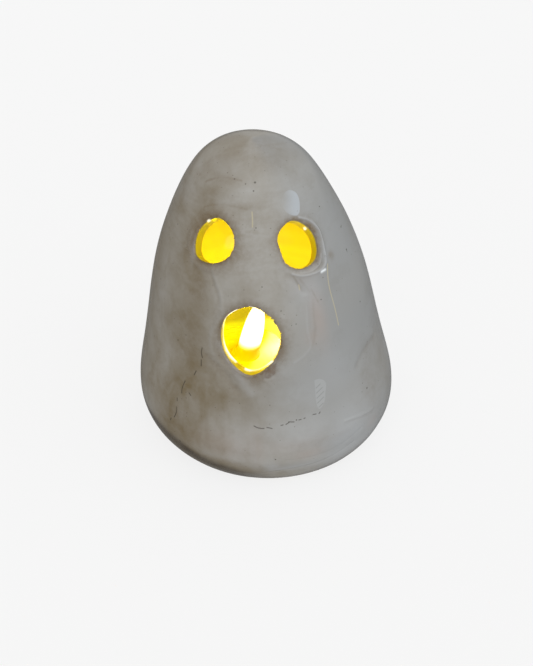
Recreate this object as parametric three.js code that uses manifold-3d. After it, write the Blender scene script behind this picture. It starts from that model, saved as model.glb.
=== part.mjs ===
// LED ghost light: a hand-built, glazed stoneware ghost that stands over a battery tea light.
// Millimetres, +Z up. The face looks along -Y. The origin is on the table, under the middle of the ghost.
// The ghost is open underneath and lifts straight off the tea light. The tea light's flame shines through
// the two eyes and the mouth. Under the tea light are a sliding switch and a hinged battery door.

import * as THREE from "three";
import { mergeVertices } from "three/addons/utils/BufferGeometryUtils.js";
import Module from "manifold-3d";

const wasm = await Module();
wasm.setup();

// Driving dimensions of the ghost
const SHELL_HEIGHT = 134;
const WALL = 7; // clay and glaze, level at the foot and square to the surface above it
const FOOT_RADIUS = 48.5;
const FOOT_EASE = 1.4; // rounding of the foot ring's two edges
const ROLL_HEIGHT = 6; // the wall rolls in to the foot below the belly
const ROLL_RADIUS = 53;
const BELLY_HEIGHT = 19;
const BELLY_RADIUS = 56;
const FLANK_RADIUS = 48; // halfway up from the belly to the brow
const BROW_DROP = 35; // below the top
const BROW_RADIUS = 36.4;
const CROWN_DROP = 16;
const CROWN_RADIUS = 27.4;
const CAP_DROP = 4.7;
const CAP_RADIUS = 17.4;
const CROWN_LEAN = 5.8; // how far the top leans to -X of the belly
const HOLE_EASE = 1.6; // rounding of the cut edges of the eyes and mouth

// Each hole was cut freehand: where its middle lies on the outer wall, as x and a drop below the top, and how
// far its edge is from that middle at eight even directions, starting to the right and turning upwards.
const LEFT_EYE = { x: -19.6, drop: 27.6, reach: [7.9, 8.5, 8.8, 7.8, 8.0, 9.9, 9.1, 8.1] };
const RIGHT_EYE = { x: 12.2, drop: 29.3, reach: [7.6, 7.7, 9.5, 8.8, 7.3, 8.3, 9.4, 9.4] };
const MOUTH = { x: -6, drop: 63.1, reach: [9.4, 9.2, 13.5, 11.5, 9.7, 11.1, 12.8, 11.5] };

// Thumb marks of the potter: azimuth from the face in degrees (positive to +X), height, radius and depth
const THUMB_MARKS = [
  { azimuth: -52, height: 62, spread: 17, depth: 0.9 },
  { azimuth: -22, height: 52, spread: 11, depth: 1.1 },
  { azimuth: 24, height: 84, spread: 12, depth: 0.8 },
  { azimuth: 38, height: 40, spread: 16, depth: -0.8 },
  { azimuth: 2, height: 114, spread: 15, depth: 0.7 },
  { azimuth: -128, height: 78, spread: 20, depth: 1.0 },
  { azimuth: 156, height: 96, spread: 16, depth: 0.9 },
  { azimuth: 118, height: 58, spread: 19, depth: -0.7 },
  { azimuth: 176, height: 44, spread: 15, depth: 0.8 },
];

// Driving dimensions of the tea light, and where it stands inside the ghost
const TEALIGHT_X = -9.5;
const TEALIGHT_Y = 14;
const RUNNING = 0.1; // clearance between pieces that touch or slide
const SEAT = 0.3; // clearance between pieces pressed or snapped together
const HOUSING_RADIUS = 18; // at the table
const HOUSING_FLARE = 0.6; // how much wider it is at the rim
const HOUSING_WALL = 1.2;
const HOUSING_RIM = 0.6; // radius of the rounded rim
const DISH_DEPTH = 2.4; // of the moulded pool of wax
const SNAP_LIP = 0.55; // inward step that holds the base plate
const SNAP_LIP_HEIGHT = 0.8;
const STOP_RIB_WIDTH = 1.2;
const STOP_RIB_REACH = 1.3;
const STOP_RIB_ANGLES = [20, 160, 235, 305];

const BASE_THICKNESS = 1.8;
const CELL_RADIUS = 10; // a 20 mm button cell
const CELL_HEIGHT = 3.2;
const CELL_SHEET = 0.3; // thickness of the cell's steel
const CELL_SEAL = 0.5; // thickness of its insulating ring
const WELL_WALL = 1;
const WELL_MARGIN = 0.4; // from the well to the edge of the base plate
const SPRING_ROOM = 1; // above the battery, for the negative contact
const ROOF_THICKNESS = 1;
const STRIP = 0.3; // thickness of the contact metal
const STRIP_WIDTH = 1.6;
const SPRING_WIDTH = 4;
const SPRING_LENGTH = 13.5;
const SPRING_BOW = 8.4; // length of the part that bows down to the battery
const SPRING_FLAT = 3.2; // length of its flat bottom

const DOOR_THICKNESS = 1.2;
const DOOR_RIM = 0.9; // how far the door reaches past the battery
const DOOR_CLEARANCE = 0.25;
const HINGE_SETBACK = 2.6; // from the battery's edge to the hinge axis
const HINGE_BARREL_RADIUS = 0.95;
const HINGE_BARREL_LENGTH = 6;
const HINGE_PIN_RADIUS = 0.6;
const HINGE_PIN_LENGTH = 1;
const HINGE_LUG_WIDTH = 2;
const HINGE_LUG_HEIGHT = 0.6; // the base plate is thicker around the pins
const SCREW_SETBACK = 2.4; // from the battery's edge to the screw's axis
const SCREW_RADIUS = 0.85;
const SCREW_LENGTH = 4;
const SCREW_HEAD_RADIUS = 1.6;
const SCREW_HEAD_HEIGHT = 0.6;
const SCREW_RECESS = 0.35;
const SCREW_SWING = 0.35; // room for the screw's tip as the door swings
const SCREW_BOSS_WALL = 1;
const TAB_RADIUS = 2.4;
const GRIP_GROOVES = 3;
const GRIP_PITCH = 1.3;
const GRIP_WIDTH = 0.6;
const GRIP_LENGTH = 6;
const GRIP_DEPTH = 0.35;

const SWITCH_SETBACK = 3.9; // from the edge of the base plate to the slider's middle
const SWITCH_TRAVEL = 3;
const KNOB_LENGTH = 2.6;
const KNOB_WIDTH = 2.4;
const KNOB_FLOOR_GAP = 0.4; // the knob stays clear of the table
const KNOB_SLOT_GAP = 0.15;
const FLANGE_COVER = 0.4; // how far the flange overhangs the slot at either end
const FLANGE_WIDTH = 4.5;
const FLANGE_THICKNESS = 0.9;
const BRIDGE_END = 1; // length of the bridge's raised ends
const BRIDGE_RAMP = 0.5;
const BRIDGE_WIDTH = 2.2;
const PEG_RADIUS = 0.4;
const PEG_PITCH = 2.4;
const RAIL_THICKNESS = 0.5;
const RAIL_LIP = 0.4;
const RAIL_LIP_THICKNESS = 0.25;

const LED_RADIUS = 2.5; // a 5 mm light-emitting diode
const LED_HEIGHT = 8.7;
const LED_FLANGE_STEP = 0.4;
const LED_FLANGE_HEIGHT = 1;
const LED_SEAT_HEIGHT = 3;
const LED_SEAT_WALL = 0.8;
const LEAD_PITCH = 2.54;
const LEAD_THICKNESS = 0.5;

const FLAME_LIFT = 3.3; // from the foot of the light-emitting diode up to the flame's flange
const FLAME_HEIGHT = 29.5; // above the pool
const FLAME_RADIUS = 5;
const FLAME_SWELL = 5; // the flame is widest this far above the pool
const FLAME_WAIST = 0.3; // the flame draws in this much where it passes the wick hole
const FLAME_TIP_LEAN = 5.4; // to +X
const FLAME_FLANGE_STEP = 2.2; // how far the flange reaches past the wick hole
const FLAME_FLANGE_THICKNESS = 1;
const POST_RADIUS = 0.8;
const POST_INSET = 1.5; // from the flange's edge
const POST_ANGLES = [90, 206, 334];
const SHELF_RIM = 0.1; // the roof reaches this far past the posts

// Levels inside the tea light, worked out upwards from the table
const BASE_BOTTOM = SNAP_LIP_HEIGHT + RUNNING;
const BASE_TOP = BASE_BOTTOM + BASE_THICKNESS;
const DOOR_TOP = BASE_BOTTOM + DOOR_THICKNESS;
const CELL_BOTTOM = DOOR_TOP + RUNNING;
const CELL_TOP = CELL_BOTTOM + CELL_HEIGHT;
const ROOF_BOTTOM = CELL_TOP + SPRING_ROOM;
const ROOF_TOP = ROOF_BOTTOM + ROOF_THICKNESS;
const LED_SEAT_TOP = ROOF_TOP + LED_SEAT_HEIGHT;
const LED_BOTTOM = LED_SEAT_TOP + RUNNING;
const LED_TOP = LED_BOTTOM + LED_HEIGHT;
const FLAME_BOTTOM = LED_BOTTOM + FLAME_LIFT;
const FLAME_FLANGE_TOP = FLAME_BOTTOM + FLAME_FLANGE_THICKNESS;
const POOL_UNDERSIDE = FLAME_FLANGE_TOP + RUNNING;
const POOL_LEVEL = POOL_UNDERSIDE + HOUSING_WALL;
const HOUSING_HEIGHT = POOL_LEVEL + DISH_DEPTH;
const FLAME_TOP = POOL_LEVEL + FLAME_HEIGHT;
const SLIDER_BOTTOM = BASE_TOP + RUNNING;
const SLIDER_TOP = SLIDER_BOTTOM + FLANGE_THICKNESS;
const BRIDGE_TOP = SLIDER_TOP + 2 * STRIP;
const CONTACT_LEVEL = BRIDGE_TOP + RUNNING;
const HINGE_Z = BASE_BOTTOM + HINGE_BARREL_RADIUS + RUNNING / 2;

// Radii and places inside the tea light, seen from above
const WICK_HOLE_RADIUS = FLAME_RADIUS + SEAT;
const FLAME_NECK_RADIUS = FLAME_RADIUS - FLAME_WAIST;
const FLAME_FLANGE_RADIUS = WICK_HOLE_RADIUS + FLAME_FLANGE_STEP;
const LED_FLANGE_RADIUS = LED_RADIUS + LED_FLANGE_STEP;
const POST_CIRCLE = FLAME_FLANGE_RADIUS - POST_INSET;
const SHELF_RADIUS = POST_CIRCLE + POST_RADIUS + SHELF_RIM;
const HOUSING_INSIDE = HOUSING_RADIUS - HOUSING_WALL;
const BASE_RADIUS = HOUSING_INSIDE - SEAT;
const WELL_RADIUS = CELL_RADIUS + SEAT;
const WELL_OUTER = WELL_RADIUS + WELL_WALL;
const CELL_Y = WELL_OUTER + WELL_MARGIN - BASE_RADIUS;
const HINGE_X = -CELL_RADIUS - HINGE_SETBACK;
const LUG_START = HINGE_BARREL_LENGTH / 2 + DOOR_CLEARANCE;
const SCREW_X = CELL_RADIUS + SCREW_SETBACK;
const SCREW_HOLE_RADIUS = SCREW_RADIUS + SCREW_SWING;
const SWITCH_Y = BASE_RADIUS - SWITCH_SETBACK;
const SWITCH_X = SWITCH_TRAVEL / 2; // drawn switched on
const FLANGE_LENGTH = 2 * SWITCH_TRAVEL + KNOB_LENGTH + FLANGE_COVER;
const LEAD_X = LEAD_PITCH / 2;
const STRIP_X = SWITCH_TRAVEL + LEAD_X; // the bridge joins the anode lead and this strip when switched on
const BRIDGE_LENGTH = STRIP_X + LEAD_X + BRIDGE_END;

// Materials
const glaze = new THREE.MeshStandardMaterial({ color: 0xb9b5ac, roughness: 0.25, metalness: 0 });
const whitePlastic = new THREE.MeshStandardMaterial({ color: 0xece7d8, roughness: 0.45, metalness: 0 });
const flamePlastic = new THREE.MeshStandardMaterial({
  color: 0xffe9a8,
  roughness: 0.35,
  metalness: 0,
  emissive: 0xffc21a,
});
const ledEpoxy = new THREE.MeshStandardMaterial({ color: 0xffd23c, roughness: 0.1, metalness: 0 });
const darkPlastic = new THREE.MeshStandardMaterial({ color: 0x2b2b2d, roughness: 0.5, metalness: 0 });
const springSteel = new THREE.MeshStandardMaterial({ color: 0xc9c9c4, roughness: 0.3, metalness: 1 });
const cellSteel = new THREE.MeshStandardMaterial({ color: 0xb8bac0, roughness: 0.25, metalness: 1 });
const sealRubber = new THREE.MeshStandardMaterial({ color: 0x1e1e1f, roughness: 0.7, metalness: 0 });

// A closed geometry as a manifold-3d solid
function solid(geometry) {
  const bare = geometry.index ? geometry.toNonIndexed() : geometry.clone();
  bare.deleteAttribute("normal");
  bare.deleteAttribute("uv");
  const merged = mergeVertices(bare, 1e-4);
  return new wasm.Manifold(
    new wasm.Mesh({
      numProp: 3,
      vertProperties: new Float32Array(merged.attributes.position.array),
      triVerts: new Uint32Array(merged.index.array),
    }),
  );
}

// A manifold-3d solid as a geometry
function geometryOf(made) {
  const mesh = made.getMesh();
  const geometry = new THREE.BufferGeometry();
  geometry.setAttribute("position", new THREE.BufferAttribute(new Float32Array(mesh.vertProperties), 3));
  geometry.setIndex(new THREE.BufferAttribute(new Uint32Array(mesh.triVerts), 1));
  geometry.computeVertexNormals();
  return geometry;
}

// Joins solids into one
function joined(...pieces) {
  return pieces.reduce((whole, piece) => whole.add(piece));
}

// Takes each cutter out of a solid
function cut(body, ...cutters) {
  return cutters.reduce((left, cutter) => left.subtract(cutter), body);
}

// A box between two opposite corners, given in either order
function block(from, to) {
  const low = new THREE.Vector3(...from).min(new THREE.Vector3(...to));
  const high = new THREE.Vector3(...from).max(new THREE.Vector3(...to));
  const size = high.clone().sub(low);
  const box = new THREE.BoxGeometry(size.x, size.y, size.z);
  box.translate(low.x + size.x / 2, low.y + size.y / 2, low.z + size.z / 2);
  return solid(box);
}

// An upright cylinder
function post(radius, bottom, top, x = 0, y = 0, sides = 24) {
  const cylinder = new THREE.CylinderGeometry(radius, radius, top - bottom, sides);
  cylinder.rotateX(Math.PI / 2);
  cylinder.translate(x, y, (bottom + top) / 2);
  return solid(cylinder);
}

// A cylinder lying along Y, centred on the battery
function rod(radius, length, x, z, sides = 20) {
  const cylinder = new THREE.CylinderGeometry(radius, radius, length, sides);
  cylinder.translate(x, CELL_Y, z);
  return solid(cylinder);
}

// A closed profile of [radius, height] points revolved about the upright axis through x, y
function revolved(profile, sides, x = 0, y = 0) {
  const lathe = new THREE.LatheGeometry(
    profile.map(([radius, height]) => new THREE.Vector2(radius, height)),
    sides,
  );
  lathe.rotateX(Math.PI / 2);
  lathe.translate(x, y, 0);
  return solid(lathe);
}

// Points round a corner of a profile, from one angle to another in degrees
function corner(radius, height, size, from, to, steps) {
  const points = [];
  for (let step = 0; step <= steps; step++) {
    const angle = THREE.MathUtils.degToRad(from + ((to - from) * step) / steps);
    points.push([radius + size * Math.cos(angle), height + size * Math.sin(angle)]);
  }
  return points;
}

// A ring of points, one for each even step of angle
function ringOf(sides, pointAt) {
  return Array.from({ length: sides }, (_, side) => pointAt((2 * Math.PI * side) / sides));
}

// A solid skinned over rings of equally many points, closed at either end by a fan to its tip
function skinned(rings, firstTip = middleOf(rings[0]), lastTip = middleOf(rings[rings.length - 1])) {
  const count = rings[0].length;
  const positions = [...rings.flat(), firstTip, lastTip].flatMap((point) => point.toArray());
  const index = [];
  const start = rings.length * count;
  const last = start - count;
  for (let side = 0; side < count; side++) {
    const next = (side + 1) % count;
    for (let a = side, b = next; a < last; a += count, b += count) {
      index.push(a, b, b + count, a, b + count, a + count);
    }
    index.push(start, next, side, start + 1, last + side, last + next);
  }
  const geometry = new THREE.BufferGeometry();
  geometry.setAttribute("position", new THREE.Float32BufferAttribute(positions, 3));
  geometry.setIndex(index);
  return solid(geometry);
}

// The middle of a ring
function middleOf(ring) {
  return ring.reduce((sum, point) => sum.add(point), new THREE.Vector3()).divideScalar(ring.length);
}

// A strip of even thickness bent along a path of [u, v] points, as a flat outline
function bentStrip(path, thickness) {
  const points = path.map(([u, v]) => new THREE.Vector2(u, v));
  const offsets = points.map((point, i) => {
    const before = points[i - 1] ?? point.clone().multiplyScalar(2).sub(points[i + 1]);
    const after = points[i + 1] ?? point.clone().multiplyScalar(2).sub(before);
    const into = point.clone().sub(before).normalize();
    const along = after.clone().sub(point).normalize().add(into).normalize();
    return new THREE.Vector2(-along.y, along.x).multiplyScalar(thickness / 2 / along.dot(into));
  });
  const left = points.map((point, i) => point.clone().add(offsets[i]));
  const right = points.map((point, i) => point.clone().sub(offsets[i]));
  return new THREE.Shape([...left, ...right.reverse()]);
}

// Half a path of [distance, height] points, from its end inwards, mirrored about a middle
function bothSides(half, middle) {
  const before = half.map(([distance, height]) => [middle - distance, height]);
  const after = half.map(([distance, height]) => [middle + distance, height]);
  return [...before, ...after.reverse()];
}

// An outline drawn in Y and Z, extruded to a width centred on x
function acrossX(outline, x, width) {
  const plate = new THREE.ExtrudeGeometry(outline, { depth: width, bevelEnabled: false });
  plate.translate(0, 0, x - width / 2);
  plate.applyMatrix4(new THREE.Matrix4().set(0, 0, 1, 0, 1, 0, 0, 0, 0, 1, 0, 0, 0, 0, 0, 1));
  return solid(plate);
}

// An outline drawn in X and Z, extruded to a width centred on y
function acrossY(outline, y, width) {
  const plate = new THREE.ExtrudeGeometry(outline, { depth: width, bevelEnabled: false });
  plate.rotateX(Math.PI / 2);
  plate.translate(0, y + width / 2, 0);
  return solid(plate);
}

// A natural cubic spline through stations of increasing x
function spline(xs, ys) {
  const n = xs.length;
  const bend = new Array(n).fill(0);
  const carry = new Array(n).fill(0);
  for (let i = 1; i < n - 1; i++) {
    const span = xs[i + 1] - xs[i - 1];
    const share = (xs[i] - xs[i - 1]) / span;
    const pivot = share * bend[i - 1] + 2;
    const change = (ys[i + 1] - ys[i]) / (xs[i + 1] - xs[i]) - (ys[i] - ys[i - 1]) / (xs[i] - xs[i - 1]);
    bend[i] = (share - 1) / pivot;
    carry[i] = ((6 * change) / span - share * carry[i - 1]) / pivot;
  }
  for (let i = n - 2; i >= 0; i--) bend[i] = bend[i] * bend[i + 1] + carry[i];
  return (x) => {
    let i = 1;
    while (i < n - 1 && xs[i] < x) i++;
    const step = xs[i] - xs[i - 1];
    const a = (xs[i] - x) / step;
    const b = 1 - a;
    const curve = (a ** 3 - a) * bend[i - 1] + (b ** 3 - b) * bend[i];
    return a * ys[i - 1] + b * ys[i] + (curve * step ** 2) / 6;
  };
}

// The ghost's outline: a spline through the squared radii closes the crown round
const stations = [
  [0, FOOT_RADIUS],
  [ROLL_HEIGHT, ROLL_RADIUS],
  [BELLY_HEIGHT, BELLY_RADIUS],
  [(BELLY_HEIGHT + SHELL_HEIGHT - BROW_DROP) / 2, FLANK_RADIUS],
  [SHELL_HEIGHT - BROW_DROP, BROW_RADIUS],
  [SHELL_HEIGHT - CROWN_DROP, CROWN_RADIUS],
  [SHELL_HEIGHT - CAP_DROP, CAP_RADIUS],
  [SHELL_HEIGHT, 0],
];
const squaredRadius = spline(
  stations.map(([height]) => height),
  stations.map(([, radius]) => radius ** 2),
);

// The outer wall's radius at a height
function outerRadius(height) {
  return Math.sqrt(Math.max(squaredRadius(height), 0));
}

// How far the ghost's middle has leaned at a height
function leanAt(height) {
  return (-CROWN_LEAN * (height - BELLY_HEIGHT)) / (SHELL_HEIGHT - BELLY_HEIGHT);
}

// The outer wall's normal in its profile, as [outwards, upwards]
function profileNormal(height) {
  const step = 0.05;
  const low = Math.max(height - step, 0);
  const high = Math.min(height + step, SHELL_HEIGHT);
  const slope = new THREE.Vector2(outerRadius(high) - outerRadius(low), high - low).normalize();
  return [slope.y, -slope.x];
}

// How deep the thumb marks press, at an azimuth in radians from the face and a height
function pressed(azimuth, height) {
  const around = outerRadius(Math.min(height, SHELL_HEIGHT - BROW_DROP));
  return THUMB_MARKS.reduce((depth, mark) => {
    const turn = azimuth - THREE.MathUtils.degToRad(mark.azimuth);
    const arc = around * Math.atan2(Math.sin(turn), Math.cos(turn));
    return depth + mark.depth * Math.exp(-(arc ** 2 + (height - mark.height) ** 2) / mark.spread ** 2);
  }, 0);
}

// The ghost's hollow dome, open underneath, before the face is cut
function dome() {
  const sides = 48;
  const levels = 24;
  const outer = [];
  const inner = [];
  for (let level = 0; level < levels; level++) {
    const share = Math.sin((level / levels) * (Math.PI / 2)) ** 2; // closer at the foot and the crown
    const height = FOOT_EASE + (SHELL_HEIGHT - FOOT_EASE) * share;
    const [out, up] = profileNormal(height);
    const rise = up * THREE.MathUtils.smoothstep(height, 0, BELLY_HEIGHT);
    const run = Math.hypot(out, rise);
    outer.push([outerRadius(height), height]);
    inner.push([outerRadius(height) - (WALL * out) / run, height - (WALL * rise) / run]);
  }
  const footInner = corner(inner[0][0] + FOOT_EASE, FOOT_EASE, FOOT_EASE, 195, 270, 3);
  const footOuter = corner(outer[0][0] - FOOT_EASE, FOOT_EASE, FOOT_EASE, -90, -15, 3);
  const rings = [...inner.reverse(), ...footInner, ...footOuter, ...outer].map(([radius, height]) =>
    ringOf(sides, (azimuth) => {
      const pulled = radius - pressed(azimuth, height) * Math.min(radius / CAP_RADIUS, 1);
      return new THREE.Vector3(
        leanAt(height) + pulled * Math.sin(azimuth),
        -pulled * Math.cos(azimuth),
        height,
      );
    }),
  );
  const top = new THREE.Vector3(leanAt(SHELL_HEIGHT), 0, SHELL_HEIGHT);
  return skinned(rings, top.clone().setZ(SHELL_HEIGHT - WALL), top);
}

// A cutter for one hole: a tunnel square to the wall, flared where the glaze rounds its two edges
function holeCutter({ x, drop, reach }) {
  const height = SHELL_HEIGHT - drop;
  const radius = outerRadius(height);
  const azimuth = Math.asin((x - leanAt(height)) / radius);
  const [out, up] = profileNormal(height);
  const middle = new THREE.Vector3(x, -radius * Math.cos(azimuth), height);
  const normal = new THREE.Vector3(out * Math.sin(azimuth), -out * Math.cos(azimuth), up);
  const level = new THREE.Vector3(0, 0, 1).cross(normal).normalize();
  const rise = normal.clone().cross(level);
  const edge = new THREE.CatmullRomCurve3(
    reach.map((distance, i) => {
      const angle = (2 * Math.PI * i) / reach.length;
      const across = level.clone().multiplyScalar(distance * Math.cos(angle));
      return across.addScaledVector(rise, distance * Math.sin(angle));
    }),
    true,
  );
  const half = HOLE_EASE / 2;
  const bulge = HOLE_EASE - Math.sqrt(HOLE_EASE ** 2 - half ** 2);
  const depths = [
    [-3 * WALL, HOLE_EASE],
    [-WALL, HOLE_EASE],
    [half - WALL, bulge],
    [HOLE_EASE - WALL, 0],
    [-HOLE_EASE, 0],
    [-half, bulge],
    [0, HOLE_EASE],
    [2 * WALL, HOLE_EASE],
  ];
  const rings = depths.map(([depth, flare]) =>
    ringOf(32, (angle) => {
      const from = edge.getPoint(angle / (2 * Math.PI));
      return from.setLength(from.length() + flare).addScaledVector(normal, depth).add(middle);
    }),
  );
  return skinned(rings);
}

// The glazed ghost with its eyes and mouth
function ghostShell() {
  return cut(dome(), holeCutter(LEFT_EYE), holeCutter(RIGHT_EYE), holeCutter(MOUTH));
}

// The tea light's white cup: side wall, rim, moulded pool of wax and wick hole in one piece
function candleHousing() {
  const ease = 0.3; // of the foot's edges
  const rimMiddle = HOUSING_RADIUS + HOUSING_FLARE - HOUSING_RIM;
  const insideTop = HOUSING_INSIDE + HOUSING_FLARE - ease / 2;
  const poolEdge = rimMiddle - HOUSING_RIM - ease;
  const meniscus = DISH_DEPTH * 0.4; // the wax creeps up the side
  const collar = 0.75; // the wax creeps up round the flame
  const profile = [
    [HOUSING_RADIUS - ease, 0],
    [HOUSING_RADIUS, ease],
    ...corner(rimMiddle, HOUSING_HEIGHT - HOUSING_RIM, HOUSING_RIM, 0, 180, 6),
    [poolEdge - ease, POOL_LEVEL + meniscus],
    [poolEdge - 2 * meniscus, POOL_LEVEL + meniscus / 4],
    [poolEdge - 5 * meniscus, POOL_LEVEL],
    [WICK_HOLE_RADIUS + 3 * collar, POOL_LEVEL],
    [WICK_HOLE_RADIUS + collar, POOL_LEVEL + collar * 0.9],
    [WICK_HOLE_RADIUS + collar / 4, POOL_LEVEL + collar],
    [WICK_HOLE_RADIUS, POOL_LEVEL + collar * 0.6],
    [WICK_HOLE_RADIUS, POOL_UNDERSIDE],
    [insideTop - HOUSING_WALL, POOL_UNDERSIDE],
    [insideTop, POOL_UNDERSIDE - HOUSING_WALL],
    [HOUSING_INSIDE, SNAP_LIP_HEIGHT + ease / 2],
    [HOUSING_INSIDE - SNAP_LIP, SNAP_LIP_HEIGHT - ease / 2],
    [HOUSING_INSIDE - SNAP_LIP, ease],
    [HOUSING_INSIDE - SNAP_LIP + ease, 0],
    [HOUSING_RADIUS - ease, 0],
  ];
  const rooted = HOUSING_WALL / 2; // each rib runs this far into the wall and the pool
  const ribs = STOP_RIB_ANGLES.map((degrees) => {
    const bottom = BASE_TOP + RUNNING;
    const height = POOL_UNDERSIDE + rooted - bottom;
    const rib = new THREE.BoxGeometry(STOP_RIB_REACH + rooted, STOP_RIB_WIDTH, height);
    rib.translate(HOUSING_INSIDE + (rooted - STOP_RIB_REACH) / 2, 0, bottom + height / 2);
    rib.rotateZ(THREE.MathUtils.degToRad(degrees));
    return solid(rib);
  });
  return joined(revolved(profile, 44), ...ribs);
}

// The hollow flame, with a flange that bears up against the underside of the pool
function flameLens() {
  const sides = 24;
  const steps = 12;
  const widest = POOL_LEVEL + FLAME_SWELL;
  const ring = (radius, height, lean = 0) =>
    ringOf(sides, (angle) => {
      return new THREE.Vector3(lean + radius * Math.cos(angle), radius * Math.sin(angle), height);
    });
  const rings = [
    ring(FLAME_FLANGE_RADIUS, FLAME_BOTTOM),
    ring(FLAME_FLANGE_RADIUS, FLAME_FLANGE_TOP),
    ring(FLAME_NECK_RADIUS, FLAME_FLANGE_TOP),
    ring(FLAME_NECK_RADIUS, POOL_LEVEL + FLAME_WAIST),
  ];
  for (let step = 0; step < steps; step++) {
    const up = Math.sin((step / steps) * (Math.PI / 2));
    const height = widest + (FLAME_TOP - widest) * up;
    rings.push(ring(FLAME_RADIUS * (1 - up ** 1.8) ** 0.65, height, FLAME_TIP_LEAN * up ** 1.4));
  }
  const outside = skinned(rings, undefined, new THREE.Vector3(FLAME_TIP_LEAN, 0, FLAME_TOP));
  const boreRadius = LED_RADIUS + SEAT;
  const shoulder = LED_TOP - LED_RADIUS;
  const mouth = Math.max(FLAME_BOTTOM, LED_BOTTOM + LED_FLANGE_HEIGHT) + SEAT;
  const bore = revolved(
    [
      [0, FLAME_BOTTOM - 1],
      [LED_FLANGE_RADIUS + SEAT, FLAME_BOTTOM - 1],
      [LED_FLANGE_RADIUS + SEAT, mouth],
      [boreRadius, mouth + LED_FLANGE_STEP],
      ...corner(0, shoulder, boreRadius, 0, 60, 2),
      [0, shoulder + boreRadius],
    ],
    sides,
  );
  return cut(outside, bore);
}

// The light-emitting diode's body
function ledBody() {
  const shoulder = LED_TOP - LED_RADIUS;
  return revolved(
    [
      [0, LED_BOTTOM],
      [LED_FLANGE_RADIUS, LED_BOTTOM],
      [LED_FLANGE_RADIUS, LED_BOTTOM + LED_FLANGE_HEIGHT],
      [LED_RADIUS, LED_BOTTOM + LED_FLANGE_HEIGHT],
      ...corner(0, shoulder, LED_RADIUS, 0, 75, 4),
      [0, LED_TOP],
    ],
    24,
  );
}

// A square wire whose middle runs straight between points
function wire(points) {
  const half = LEAD_THICKNESS / 2;
  const runs = points.slice(1).map((to, i) => {
    const low = to.map((value, axis) => Math.min(value, points[i][axis]) - half);
    const high = to.map((value, axis) => Math.max(value, points[i][axis]) + half);
    return block(low, high);
  });
  return joined(...runs);
}

const LEAD_TOP = LED_BOTTOM - RUNNING / 2 - LEAD_THICKNESS / 2;
const ANODE_LEVEL = ROOF_TOP + LED_SEAT_HEIGHT / 3;

// The lead that runs over the roof and down to the switch
function anodeLead() {
  const clear = 0.7; // past whatever stands out furthest below it
  const down = Math.max(CELL_Y + WELL_OUTER, SHELF_RADIUS) + clear;
  const contact = CONTACT_LEVEL + LEAD_THICKNESS / 2;
  return wire([
    [-LEAD_X, 0, LEAD_TOP],
    [-LEAD_X, 0, ANODE_LEVEL],
    [-LEAD_X, down, ANODE_LEVEL],
    [-LEAD_X, down, contact],
    [-LEAD_X, SWITCH_Y + BRIDGE_WIDTH / 2, contact],
  ]);
}

// The lead that runs straight down to the negative contact
function cathodeLead() {
  const bottom = ROOF_BOTTOM + (LEAD_THICKNESS - RUNNING) / 2;
  return wire([
    [LEAD_X, 0, LEAD_TOP],
    [LEAD_X, 0, bottom],
  ]);
}

// The battery door's plan between two levels, grown by a clearance: disc, screw tab and hinge arm
function doorPlan(grow, bottom, top) {
  const arm = HINGE_BARREL_LENGTH / 2 + grow;
  const tab = TAB_RADIUS + grow;
  const rooted = CELL_RADIUS - DOOR_RIM; // the tab and the arm start well inside the disc
  return joined(
    post(CELL_RADIUS + DOOR_RIM + grow, bottom, top, 0, CELL_Y, 48),
    post(tab, bottom, top, SCREW_X, CELL_Y),
    block([rooted, CELL_Y - tab, bottom], [SCREW_X, CELL_Y + tab, top]),
    block([HINGE_X, CELL_Y - arm, bottom], [-rooted, CELL_Y + arm, top]),
  );
}

// The hinged battery door
function batteryDoor() {
  const barrel = rod(HINGE_BARREL_RADIUS, HINGE_BARREL_LENGTH, HINGE_X, HINGE_Z);
  const pins = rod(HINGE_PIN_RADIUS, HINGE_BARREL_LENGTH + 2 * HINGE_PIN_LENGTH, HINGE_X, HINGE_Z, 16);
  const below = BASE_BOTTOM - 1;
  const screwHole = post(SCREW_RADIUS + RUNNING, below, DOOR_TOP + 1, SCREW_X, CELL_Y, 16);
  const headTop = BASE_BOTTOM + SCREW_HEAD_HEIGHT + RUNNING;
  const counterbore = post(SCREW_HEAD_RADIUS + RUNNING, below, headTop, SCREW_X, CELL_Y);
  const grooves = Array.from({ length: GRIP_GROOVES }, (_, i) => {
    const x = CELL_RADIUS - 2 * GRIP_PITCH - i * GRIP_PITCH;
    return block(
      [x - GRIP_WIDTH / 2, CELL_Y - GRIP_LENGTH / 2, below],
      [x + GRIP_WIDTH / 2, CELL_Y + GRIP_LENGTH / 2, BASE_BOTTOM + GRIP_DEPTH],
    );
  });
  return cut(joined(doorPlan(0, BASE_BOTTOM, DOOR_TOP), barrel, pins), screwHole, counterbore, ...grooves);
}

// The captive screw of the battery door, with a cross recess
function doorScrew() {
  const headTop = BASE_BOTTOM + SCREW_HEAD_HEIGHT;
  const tip = BASE_BOTTOM + SCREW_LENGTH;
  const profile = [
    [0, BASE_BOTTOM],
    [SCREW_HEAD_RADIUS, BASE_BOTTOM],
    [SCREW_HEAD_RADIUS, headTop],
    [SCREW_RADIUS, headTop],
    [SCREW_RADIUS, tip - SCREW_RADIUS / 2],
    [SCREW_RADIUS / 2, tip],
    [0, tip],
  ];
  const reach = SCREW_HEAD_RADIUS * 0.6;
  const half = SCREW_HEAD_RADIUS * 0.14;
  const bar = (x, y) =>
    block([SCREW_X - x, CELL_Y - y, BASE_BOTTOM - 1], [SCREW_X + x, CELL_Y + y, BASE_BOTTOM + SCREW_RECESS]);
  return cut(revolved(profile, 20, SCREW_X, CELL_Y), bar(reach, half), bar(half, reach));
}

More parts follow.
